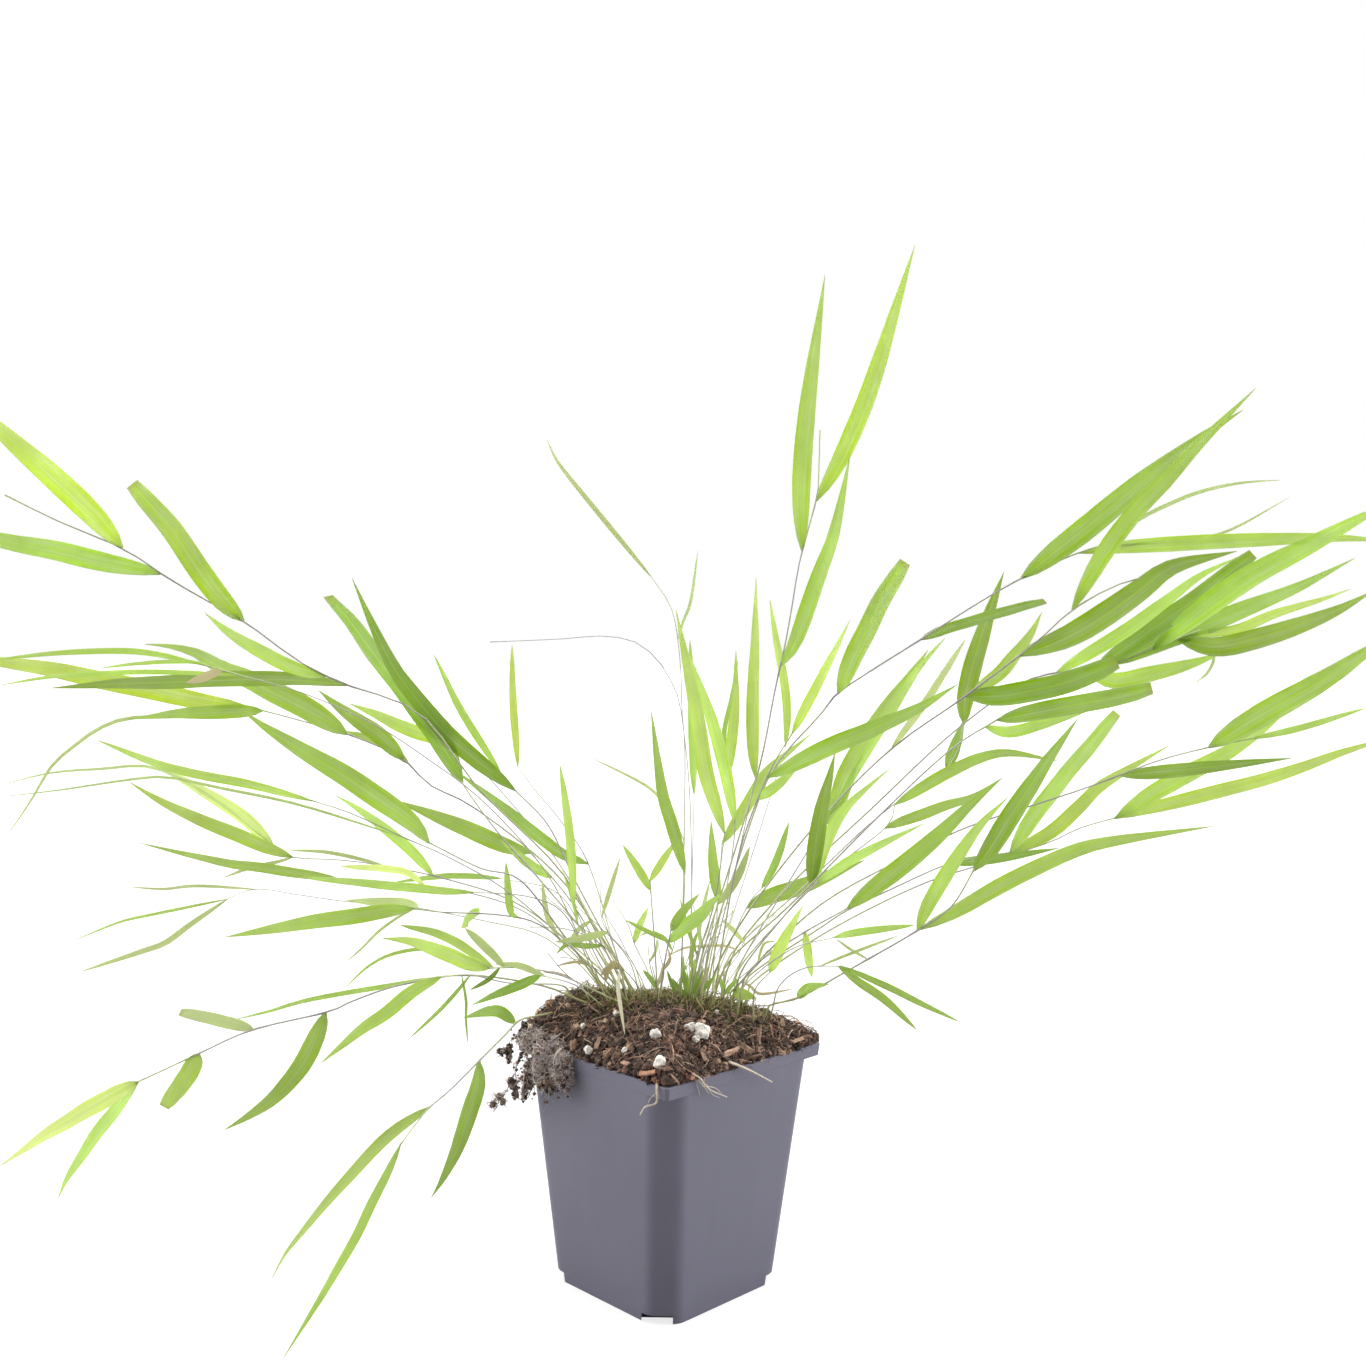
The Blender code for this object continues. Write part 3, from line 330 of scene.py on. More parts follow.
def ringAt(z, half, cut, soft):
    # One level of the pot: its eight corners, each rounded over the length soft; a cut corner faces the eye
    narrow = half - cut
    flat = [Vector(p) for p in ((half, -narrow), (half, narrow), (narrow, half), (-narrow, half),
                                (-half, narrow), (-half, -narrow), (-narrow, -half), (narrow, -half))]
    ring = []
    for i, corner in enumerate(flat):
        a, b = (corner + (flat[(i + side) % 8] - corner).normalized() * soft for side in (-1, 1))
        for step in range(pot["softSteps"] + 1):
            t = step / pot["softSteps"]
            x, y = a * (1 - t) ** 2 + corner * (2 * t * (1 - t)) + b * t ** 2
            ring.append(eighth @ Vector((x, y, z)))
    return ring


def cornerSteps(grow):
    corner = (2 * potHalf(0) - pot["cutBase"]) / math.sqrt(2)
    boxes = []
    for turn, (start, end, height) in enumerate(pot["steps"]):
        angle = math.radians(90 * turn)
        middle = Matrix.Rotation(angle, 3, "Z") @ Vector((corner, (start + end) / 2, 0))
        size = (2 * (pot["stepDepth"] + grow), end - start + 2 * grow, 2 * (height + grow))
        bpy.ops.mesh.primitive_cube_add(size=1, rotation=(0, 0, angle), location=middle, scale=size)
        boxes.append(bpy.context.object)
    return joined(boxes, "stepBoxes")


def drainPins():
    pins, reach = [], pot["drainSpacing"] / 2
    for turn in range(4):
        angle = math.radians(45 + 90 * turn)
        bpy.ops.mesh.primitive_cylinder_add(
            vertices=pot["drainSides"], radius=pot["drainRadius"], depth=4 * pot["floor"],
            location=(reach * math.cos(angle), reach * math.sin(angle), 0))
        pins.append(bpy.context.object)
    return joined(pins, "drainPins")


def block(name, levels):
    # A block from a flat ring extruded up through its levels of height, half width, corner cut and rounding
    count = 8 * (pot["softSteps"] + 1)
    bpy.ops.mesh.primitive_circle_add(vertices=count, radius=0.05, fill_type="NGON")
    made = drawnUp(named(bpy.context.object, name), 0.01, len(levels) - 1)
    corners = sorted(made.data.vertices, key=lambda v: (round(v.co.z, 4), math.atan2(v.co.y, v.co.x)))
    for number, level in enumerate(levels):
        ring = sorted(ringAt(*level), key=lambda p: math.atan2(p.y, p.x))
        for v, p in zip(corners[count * number:], ring):
            v.co = p
    return inEdit(made, faceOut)


def carve(piece, tool):
    # Takes the tool's shape out of the piece
    modified(piece, "BOOLEAN", object=tool, operation="DIFFERENCE")
    bpy.data.objects.remove(tool)


def makePot():
    top, step, soft, thin = pot["height"], pot["rimStep"], pot["softEdge"], pot["rimSoft"]
    rimLow, rimHalf, rimCut = top - pot["rimHeight"], potHalf(top) + step, pot["rimCorner"]
    shell = block("potShell", [
        (0.0, potHalf(0) - thin, cornerCut(0), soft),
        *((z, potHalf(z), cornerCut(z), soft) for z in (thin, rimLow - step)),
        (rimLow, potHalf(rimLow) + step, rimCut, thin),
        (top - thin, rimHalf, rimCut, thin), (top, rimHalf - thin, rimCut, thin),
    ])
    wall, levels = pot["wall"], (pot["floor"], top + pot["rimHeight"])
    inside = soft - wall * math.tan(math.radians(22.5))
    cavity = block("cavity", [(z, potHalf(z) - wall, cornerCut(z, wall), inside) for z in levels])
    carve(cavity, cornerSteps(wall))
    for tool in (cavity, cornerSteps(0), drainPins()):
        carve(shell, tool)
    shell.data.materials.clear()
    makeOnly(dressed(shell, makePotMaterial()))
    bpy.ops.object.shade_smooth_by_angle(angle=pot["smoothTo"])
    settled(shell, "pot_grey", "pot")
    print("pot is made")


# Soil

soil = {
    "crest": 0.0165, "edge": 0.0020, "side": 0.0445, "flatness": 3, "lump": 0.0016, "lumpsPerMetre": 160,
    "backFall": 0.7, "backFrom": -0.015, "rightFall": 0.3, "seenTo": 0.0632, "unseen": -0.02,
    "heapHeight": 0.0065, "heapSpread": 0.014, "heapFlatness": 8, "heapPlace": (-0.042, 0.002),
    "cells": 110, "rough": 0.0020, "roughPerMetre": 420, "shade": 0.30,
    # Where the pieces on the rim lie, in metres from its outer edge, its ends and its top
    "rimReach": (-0.0022, 0.0006), "rimEnd": 0.001, "rimHeight": (0.0003, 0.0026),
    # Shades of the pieces: mostly black-brown, with some red-brown and a few tan ones
    "usual": 0.31, "spread": 0.22, "tan": 0.42, "tanShare": 0.14,
}


def soilHeight(x, y):
    # The mound over the rim, lower at the back and the right, with a steeper heap beside the left corner
    corner = pot["width"] / math.sqrt(2)
    reach = (abs(x) + abs(y)) / corner
    mound = soil["crest"] * max(0.0, 1 - reach ** soil["flatness"])
    mound *= 1 - soil["backFall"] * unit((y - soil["backFrom"]) / (corner - soil["backFrom"]))
    mound *= 1 - soil["rightFall"] * unit(x / corner)
    away = (x - soil["heapPlace"][0]) ** 2 + (y - soil["heapPlace"][1]) ** 2
    heap = soil["heapHeight"] * math.exp(-away / (2 * soil["heapSpread"] ** 2))
    heap *= max(0.0, 1 - reach ** soil["heapFlatness"])
    lumps = soil["lump"] * noise.noise(Vector((x, y, 0.0)) * soil["lumpsPerMetre"])
    lumps *= unit(4 * (1.05 - reach))
    return pot["height"] + soil["edge"] + mound + heap + lumps


def soilNormal(p):
    step = 0.0008  # metres to each side
    return Vector((soilHeight(p.x - step, p.y) - soilHeight(p.x + step, p.y),
                   soilHeight(p.x, p.y - step) - soilHeight(p.x, p.y + step), 2 * step)).normalized()


def onSoil(u, v):
    # The point of the soil's surface that shows at (u, v), looked for from the front back
    for tenth in range(-640, 640):  # of a millimetre
        p = placed(u, v, tenth / 10000)
        if abs(p.x) + abs(p.y) < soil["seenTo"] and p.z <= soilHeight(p.x, p.y):
            return p
    return placed(u, v, soil["unseen"])


def makeEarthMaterial():
    # Damp peat and bark: black-brown to red-brown by each crumb's own shade
    skin = Skin("peatAndBark")
    place = skin.place()
    grain = skin.noise(place, scale=420.0, detail=5.0, roughness=0.65)
    level = skin.math("ADD", skin.own("shade"), skin.ranged(grain, (0.3, 0.7), (-0.20, 0.20)))
    colour = skin.ramp(level, (0.0, 0.026, 0.0175, 0.0145), (0.3, 0.080, 0.051, 0.040),
                       (0.55, 0.18, 0.113, 0.085), (0.78, 0.34, 0.207, 0.147), (1.0, 0.60, 0.42, 0.30))
    # Red bark in patches, most of it at the front corner
    patch = skin.ranged(skin.noise(place, scale=95.0), (0.46, 0.60))
    atFront = skin.ranged(skin.axis(place, "Y"), (-0.042, -0.056), (0.25, 1.0))
    red = skin.mixed(skin.math("MULTIPLY", patch, atFront), colour, (1.14, 0.90, 0.80, 1),
                     blend_type="MULTIPLY")
    skin.speckled(red, size=1600.0, amount=0.35, strength=0.6, depth=0.0004)
    skin.set("Roughness", skin.ranged(grain, (0.35, 0.65), (0.62, 0.95)))
    return skin.made


def makeSoilBed(earth):
    # A dense sheet raised to the mound, its edge drawn down over the rim and into the pot
    side, cells = soil["side"], soil["cells"]
    bpy.ops.mesh.primitive_grid_add(x_subdivisions=cells, y_subdivisions=cells, size=2 * side)
    bed = named(bpy.context.object, "soilBed")
    for v in bed.data.vertices:
        spot = eighth @ v.co
        reach = (abs(spot.x) + abs(spot.y)) / (2 * side / math.sqrt(2))
        rough = noise.fractal(Vector((spot.x, spot.y, 0.3)) * soil["roughPerMetre"], 0.8, 2.1, 4)
        rise = soil["rough"] * rough * min(1.0, 0.25 + 3 * (1 - reach))
        v.co = (spot.x, spot.y, soilHeight(spot.x, spot.y) + rise)
    high, inner = pot["height"] + gap, pot["wall"] + gap
    ledge, low = max(step[2] for step in pot["steps"]) + inner, pot["floor"] + gap
    stepAway = 2 * potHalf(0) - pot["cutBase"] - math.sqrt(2) * (pot["stepDepth"] + inner)
    foot = 2 * (potHalf(low) - inner) - stepAway
    levels = [(high, side - soil["edge"] / 4, 2 * pot["rimCorner"]),
              *((z, potHalf(z) - inner, cornerCut(z, inner)) for z in (high, ledge)),
              (ledge - gap, potHalf(ledge) - inner, foot), (low, potHalf(low) - inner, foot)]
    bpy.ops.object.mode_set(mode="EDIT")
    bpy.ops.mesh.select_mode(type="VERT")
    bpy.ops.mesh.select_all(action="SELECT")
    bpy.ops.mesh.region_to_loop()
    for z, half, cut in levels:
        bpy.ops.mesh.extrude_edges_move(TRANSFORM_OT_translate={"value": (0, 0, -0.0001)})
        bpy.ops.object.mode_set(mode="OBJECT")
        for v in bed.data.vertices:
            if v.select:
                flat = eighth.transposed() @ v.co
                flat *= half / max(abs(flat.x), abs(flat.y))
                over = max(0.0, abs(flat.x) + abs(flat.y) - (2 * half - cut))
                flat.x -= math.copysign(over / 2, flat.x)
                flat.y -= math.copysign(over / 2, flat.y)
                spot = eighth @ flat
                v.co = (spot.x, spot.y, z)
        bpy.ops.object.mode_set(mode="EDIT")
    bpy.ops.mesh.edge_face_add()
    bpy.ops.object.mode_set(mode="OBJECT")
    inEdit(bed, faceOut)
    bed.data.shade_smooth()
    settled(dressed(shadedBy(bed, "shade", soil["shade"]), earth), "soil_brown", "soil")


# Shapes that are scattered by the hundred, each one long
shapes = {
    "lump": 0.35, "lumpScale": 3.3, "bow": (-0.25, 0.25), "kink": (-0.12, 0.12), "thinnest": 0.35,
    "chip": (0.36, 0.16, 1.0), "chipShake": 0.07,
}


def patternOf(piece):
    # The corners and triangles of a small pattern, which is then put away
    inEdit(piece, bpy.ops.mesh.quads_convert_to_tris, faceOut)
    corners = np.array([v.co[:] for v in piece.data.vertices])
    faces = np.array([f.vertices[:] for f in piece.data.polygons])
    bpy.data.objects.remove(piece)
    return corners, faces


def shake(amount, seed):
    # An edit step that moves each corner a little at random
    return lambda: bpy.ops.transform.vertex_random(offset=amount, seed=seed)


def crumbPatterns(count, firstSeed=0, fine=2, jitter=0.20):
    made = []
    for seed in range(firstSeed, firstSeed + count):
        bpy.ops.mesh.primitive_ico_sphere_add(subdivisions=fine, radius=0.5)
        piece = inEdit(bpy.context.object, shake(jitter, seed))
        for v in piece.data.vertices:
            v.co *= 1 + shapes["lump"] * noise.noise(v.co * shapes["lumpScale"] + Vector((seed, 0, 0)))
        made.append(patternOf(piece))
    return made


def threadPatterns(count, firstSeed=0, segments=5, sides=4):
    # Thin bent threads one long, drawn to a point at both ends
    made = []
    for seed in range(firstSeed, firstSeed + count):
        chance = random.Random(seed)
        bpy.ops.mesh.primitive_circle_add(vertices=sides, radius=0.5, fill_type="NGON")
        piece = drawnUp(bpy.context.object, 1 / segments, segments)
        bow, kink = chance.uniform(*shapes["bow"]), chance.uniform(*shapes["kink"])
        for v in piece.data.vertices:
            thick = shapes["thinnest"] + (1 - shapes["thinnest"]) * math.sin(math.pi * unit(v.co.z)) ** 0.5
            v.co = (v.co.x * thick, v.co.y * thick, v.co.z - 0.5)
        corners, faces = patternOf(piece)
        t = corners[:, 2] + 0.5
        bend = [bow * np.sin(math.pi * t), kink * np.sin(2 * math.pi * t), np.zeros_like(t)]
        made.append((corners, faces, np.stack(bend, axis=1)))
    return made


def chipPatterns(count):
    # Flat splinters of bark, one long
    made = []
    for seed in range(count):
        bpy.ops.mesh.primitive_cube_add(size=1, scale=shapes["chip"])
        bpy.ops.object.transform_apply(location=False, rotation=False, scale=True)
        made.append(patternOf(inEdit(bpy.context.object, lambda: bpy.ops.mesh.subdivide(number_cuts=2),
                                     shake(shapes["chipShake"], seed))))
    return made


def scattered(name, patterns, spots, material, slot="soil_brown"):
    # Copies of the patterns joined in one mesh. A spot is (pattern, place, turn, size, shade)
    corners, faces, shades, count = [], [], [], 0
    for kind, place, turn, size, shade in spots:
        pattern = patterns[kind % len(patterns)]
        shape = pattern[0] * np.array(size)
        if len(pattern) > 2:
            shape = shape + pattern[2] * size[2]
        corners.append(shape @ np.array(turn).T + np.array(place))
        faces.append(pattern[1] + count)
        count += len(shape)
        shades.append(np.full(len(shape), shade))
    mesh = bpy.data.meshes.new(name)
    mesh.from_pydata(np.concatenate(corners), [], np.concatenate(faces))
    piece = dressed(shadedBy(linked(name, mesh), "shade", np.concatenate(shades)), material)
    mesh.validate()
    return settled(piece, slot)


def diamond(a, b):
    # A place across the pot turned to the pot's own corners
    return (a - b) / math.sqrt(2), (a + b) / math.sqrt(2)


def randomSpot(chance, inset=0.0):
    # A random place on the mound
    half = soil["side"] - inset
    x, y = diamond(chance.uniform(-half, half), chance.uniform(-half, half))
    return Vector((x, y, soilHeight(x, y)))


def rimSpot(chance):
    # A random place on the soil's edge, which lies on the rim and here and there over it
    half = pot["width"] / 2
    side = half + chance.uniform(*soil["rimReach"])
    along = chance.uniform(-1, 1) * (half - soil["rimEnd"])
    x, y = diamond(*chance.choice([(side, along), (-side, along), (along, side), (along, -side)]))
    return Vector((x, y, pot["height"] + chance.uniform(*soil["rimHeight"])))


def places(chance, kind):
    # Random places on the mound for this kind of piece, then places on the rim
    for _ in range(kind["count"]):
        yield randomSpot(chance, kind.get("inset", 0.0)), False
    for _ in range(kind.get("onRim", 0)):
        yield rimSpot(chance), True


def randomWay(chance, spread=1.0):
    return Vector([chance.gauss(0, spread) for _ in range(3)])


def anyTurn(chance):
    return Matrix.Rotation(chance.uniform(0, math.tau), 3, randomWay(chance))


def lyingTurn(chance, normal, tilt):
    # A turn that lays a pattern's length along the surface, in any direction, tilted by up to tilt
    flat = normal.to_track_quat("Z", "Y").to_matrix()
    heading = Matrix.Rotation(chance.uniform(0, math.tau), 3, "Z")
    down = Matrix.Rotation(math.pi / 2 + chance.uniform(-tilt, tilt), 3, "X")
    return flat @ heading @ down @ Matrix.Rotation(chance.uniform(0, math.tau), 3, "Z")


def earthShade(chance):
    shade = soil["usual"] + soil["spread"] * chance.gauss(0, 1)
    return unit(shade + (soil["tan"] if chance.random() < soil["tanShare"] else 0))


def bit(chance, p, size, kinds=4):
    # A crumb of earth at p, of one size or of one along each axis
    shape = size if isinstance(size, list) else [size] * 3
    return chance.randrange(kinds), p, anyTurn(chance), shape, earthShade(chance)


def chip(chance, p, length, tilt):
    # A bark chip that lies at p, still without its shade
    turn = lyingTurn(chance, soilNormal(p), tilt)
    return chance.randrange(4), p, turn, [length * chips["wide"], length * chips["thick"], length]


# How many lie on the mound and on the rim, and sizes in metres. Two numbers are the least and
# the most, here and for the other small pieces, and each piece takes its own between them
crumbs = {"count": 1850, "onRim": 600, "least": 0.0010, "extra": 0.0032, "rimExtra": 0.0018, "rarity": 2.2,
          "raised": (-0.2, 0.35), "uneven": (0.7, 1.2)}
grains = {"count": 6000, "size": (0.0005, 0.0015), "raised": (0.0, 0.9)}


def makeCrumbs(earth):
    chance = random.Random("crumbs")
    spots = []
    for p, onRim in places(chance, crumbs):
        extra = crumbs["rimExtra" if onRim else "extra"]
        size = crumbs["least"] + extra * chance.random() ** crumbs["rarity"]
        p.z += size * chance.uniform(*crumbs["raised"])
        spots.append(bit(chance, p, [size * chance.uniform(*crumbs["uneven"]) for _ in range(3)], kinds=5))
    scattered("soilCrumbs", crumbPatterns(5), spots, earth)
    spots = []
    for p, _onRim in places(chance, grains):
        size = chance.uniform(*grains["size"])
        p.z += size * chance.uniform(*grains["raised"])
        spots.append(bit(chance, p, size))
    scattered("soilGrains", crumbPatterns(4, fine=1, jitter=0.25), spots, earth)


fibres = {"count": 3400, "onRim": 260, "least": 0.003, "extra": 0.011, "rimExtra": 0.005, "inset": 0.001,
          "width": (0.0002, 0.00055), "flat": 0.7, "raised": (0.0, 0.0020), "tilt": 0.45,
          "lighter": (0.1, 0.5)}
chips = {"count": 100, "onRim": 60, "length": (0.002, 0.0055), "rimLength": (0.002, 0.004), "inset": 0.002,
         "raised": (0.0002, 0.0014), "rimRaised": (0.0, 0.0005), "tilt": 0.4, "shade": (0.45, 0.95),
         "seenRaised": 0.0022, "seenTilt": 0.3, "wide": 0.8, "thick": 0.6}
# Bark chips that show in the picture: where they show, their length in metres and their shade
seenChips = [
    (728, 1056, 0.0085, 0.95), (742, 1050, 0.0070, 0.85), (752, 1060, 0.0055, 0.75),
    (756, 1040, 0.0075, 0.80), (770, 1036, 0.0060, 0.75), (746, 1022, 0.0065, 0.90),
    (600, 1046, 0.0060, 0.75), (612, 1056, 0.0050, 0.80), (628, 1066, 0.0055, 0.85),
    (650, 1076, 0.0060, 0.90), (672, 1082, 0.0055, 0.80), (690, 1080, 0.0050, 0.75),
    (795, 1043, 0.0050, 0.95), (806, 1040, 0.0045, 0.85), (545, 1044, 0.0045, 0.90),
    (533, 1028, 0.0035, 1.00), (617, 1016, 0.0035, 1.00), (700, 1058, 0.0060, 0.70),
    (640, 1050, 0.0060, 0.65), (780, 1026, 0.0050, 0.75),
]


def makeFibres(earth):
    chance = random.Random("fibres")
    spots = []
    for p, onRim in places(chance, fibres):
        length = fibres["least"] + fibres["rimExtra" if onRim else "extra"] * chance.random() ** 2
        width = chance.uniform(*fibres["width"])
        p.z += 0.0 if onRim else chance.uniform(*fibres["raised"])
        turn = lyingTurn(chance, soilNormal(p), fibres["tilt"])
        shade = min(1.0, earthShade(chance) + chance.uniform(*fibres["lighter"]))
        spots.append((chance.randrange(7), p, turn, [width, width * fibres["flat"], length], shade))
    scattered("barkFibres", threadPatterns(7), spots, earth)
    spots = []
    for p, onRim in places(chance, chips):
        length = chance.uniform(*chips["rimLength" if onRim else "length"])
        p.z += chance.uniform(*chips["rimRaised" if onRim else "raised"])
        spots.append((*chip(chance, p, length, chips["tilt"]), chance.uniform(*chips["shade"])))
    for u, v, length, shade in seenChips:
        p = onSoil(u, v)
        p += soilNormal(p) * chips["seenRaised"]
        spots.append((*chip(chance, p, length, chips["seenTilt"]), shade))
    scattered("barkChips", chipPatterns(4), spots, earth)


whiteBits = {"shown": 1.2, "uneven": (0.85, 1.15), "raised": 0.0012, "out": 0.2, "behind": 16,
             "size": (0.0012, 0.0034), "inset": 0.004, "shade": 0.5}
# White perlite that shows in the picture: where, and across in picture points
perlite = [(657, 1038, 9), (699, 1036, 13), (689, 1032, 8), (694, 1042, 6), (663, 1066, 10), (591, 1052, 7),
           (627, 1053, 5), (585, 1028, 5), (617, 1017, 5), (716, 1016, 4), (533, 1028, 4)]


def makePerlite():
    skin = Skin("perliteWhite", roughness=0.9)
    skin.speckled((0.86, 0.82, 0.76, 1), size=900.0, amount=0.25, strength=0.7, depth=0.0004)
    chance, shade = random.Random("perlite"), whiteBits["shade"]
    spots = []
    for u, v, across in perlite:
        p = onSoil(u, v)
        size = whiteBits["shown"] * across * eye["distance"] / eye["focus"]
        p += soilNormal(p) * (whiteBits["raised"] + whiteBits["out"] * size)
        kind, turn = chance.randrange(3), anyTurn(chance)
        spots.append((kind, p, turn, [size * chance.uniform(*whiteBits["uneven"])] * 3, shade))
    for _ in range(whiteBits["behind"]):
        p = randomSpot(chance, whiteBits["inset"])
        size = chance.uniform(*whiteBits["size"])
        if p.y > 0:
            spots.append((chance.randrange(3), p, anyTurn(chance), [size] * 3, shade))
    scattered("perliteBits", crumbPatterns(3, 20, fine=3, jitter=0.03), spots, skin.made)


moss = {"count": 3600, "length": (0.0016, 0.0050), "spread": 0.5, "width": 0.0004, "shade": (0, 0.65)}
straws = {"count": 420, "length": (0.004, 0.011), "spread": 0.75, "widths": (0.0003, 0.0007),
          "shade": (0.25, 1.0)}
tussock = {"inX": 0.8, "inY": 0.6, "blur": 0.006, "reach": 0.054, "sunk": 0.0004, "fan": 12,
           "middle": 0.42, "flat": 0.6}


def makeMoss():
    # Moss, old straw and fine green shoots around the feet of the culms
    skin = Skin("mossAndStraw", roughness=0.8)
    colour = skin.ramp(skin.own("shade"), (0.0, 0.06, 0.055, 0.02), (0.3, 0.13, 0.14, 0.035),
                       (0.6, 0.27, 0.31, 0.08), (0.8, 0.36, 0.33, 0.16), (1.0, 0.58, 0.50, 0.30))
    skin.speckled(colour, size=700.0, amount=0.25)
    chance, blur = random.Random("moss"), tussock["blur"]
    feet = [Vector(shoot["root"]) / 1000 for shoot in shoots.values()]
    spots = []
    for kind in [moss] * moss["count"] + [straws] * straws["count"]:
        foot = chance.choice(feet)
        x = foot.x * tussock["inX"] + chance.gauss(0, blur)
        y = foot.y * tussock["inY"] + chance.gauss(0, blur)
        if abs(x) + abs(y) > tussock["reach"]:
            continue
        length, spread = chance.uniform(*kind["length"]), kind["spread"]
        lean = Vector((chance.gauss(0, spread) + tussock["fan"] * x, chance.gauss(0, spread), 1)).normalized()
        p = Vector((x, y, soilHeight(x, y) - tussock["sunk"])) + lean * length * tussock["middle"]
        wide = chance.uniform(*kind["widths"]) if "widths" in kind else kind["width"]
        shade = chance.uniform(*kind["shade"])
        turn = lean.to_track_quat("Z", "Y").to_matrix()
        spots.append((chance.randrange(4), p, turn, [wide, wide * tussock["flat"], length], shade))
    scattered("mossAndStraw", threadPatterns(4, 40, segments=3, sides=3), spots, skin.made)


def makeSoil():
    earth = makeEarthMaterial()
    makeSoilBed(earth)
    makeCrumbs(earth)
    makeFibres(earth)
    makePerlite()
    makeMoss()
    print("soil is made")
    return earth


# Grass: every leaf is a copy of one of three flat blades, bent along its own run

blades = {
    "across": 4, "along": 18, "thickness": 0.00017, "sharp": math.radians(40),
    # Outlines: how far along, and how much of the full width it has there
    "whole": [(0.0, 0.10), (0.03, 0.40), (0.08, 0.68), (0.16, 0.90), (0.28, 1.0), (0.40, 0.98), (0.55, 0.87),
              (0.70, 0.66), (0.82, 0.43), (0.92, 0.20), (1.0, 0.015)],
    "slim": [(0.0, 0.10), (0.05, 0.45), (0.15, 0.80), (0.35, 1.0), (0.60, 0.92), (0.80, 0.66), (0.92, 0.36),
             (1.0, 0.03)],
    "cut": [(0.0, 0.10), (0.03, 0.40), (0.08, 0.68), (0.16, 0.90), (0.30, 1.0), (0.45, 1.0), (0.70, 0.95),
            (0.90, 0.80), (1.0, 0.58)],
    "slimWidth": 9, "lift": 0.45, "roll": math.radians(26), "mostWidening": 1 / 0.7,
    "fold": 0.16, "foldRange": (0.5, 1.5), "twist": 0.5, "untwisted": 0.35, "near": 0.03, "ripple": 0.05,
    "waves": (2, 4), "uneven": (0.93, 1.07), "tint": (0.97, 1.03),
    "rib": (0.50, 0.66, 0.20), "foot": (0.26, 0.38, 0.10), "tip": (0.34, 0.32, 0.10),
    "surfaceShare": 0.875, "glow": 1.17, "through": 0.6,
}
culm = {
    "radius": 0.00045, "tipRadius": 0.00027, "stoutWidth": 20, "leanest": 0.5, "socketRise": 0.006,
    "depth": 0.004, "footSwell": 1.3, "neckRise": 0.002, "neckSwell": 1.2, "knot": 1.4,
    "points": 30, "places": 150, "weld": 0.000001,
    "front": -0.008, "gather": 0.3, "footLine": 992, "footShift": 0.006,
}
# Colours of a leaf with light around and behind it
tones = {
    "pale": (0.75, 0.86, 0.30), "bright": (0.555, 0.73, 0.155), "fresh": (0.50, 0.68, 0.155),
    "green": (0.395, 0.565, 0.115), "deep": (0.30, 0.455, 0.077), "grey": (0.54, 0.64, 0.27),
    "straw": (0.62, 0.55, 0.33), "cream": (0.80, 0.76, 0.58),
}


def inPairs(numbers):
    return list(zip(numbers[::2], numbers[1::2]))


def blade(width, lean, tone, *run, cut=False):
    # One leaf: width in picture points, how far its tip leans back in mm, its tone and its run
    # through picture points, u and v by turns
    return {"width": width, "lean": lean, "tone": tone, "run": inPairs(run), "cut": cut}


def shoot(x, y, reach, run, *leaves, widest=None):
    # Where it leaves the soil in mm, how far back its tip reaches in mm, its culm through
    # picture points, and its leaves, of which the widest says how stout the culm is
    widest = widest or max((leaf["width"] for leaf in leaves), default=0)
    return {"root": (x, y), "reach": reach, "culm": inPairs(run), "leaves": leaves, "widest": widest}


def sprig(y, reach, run, *leaves):
    # A small shoot, rooted where its culm starts
    return shoot(placed(run[0], run[1], y / 1000).x * 1000, y, reach, run, *leaves)


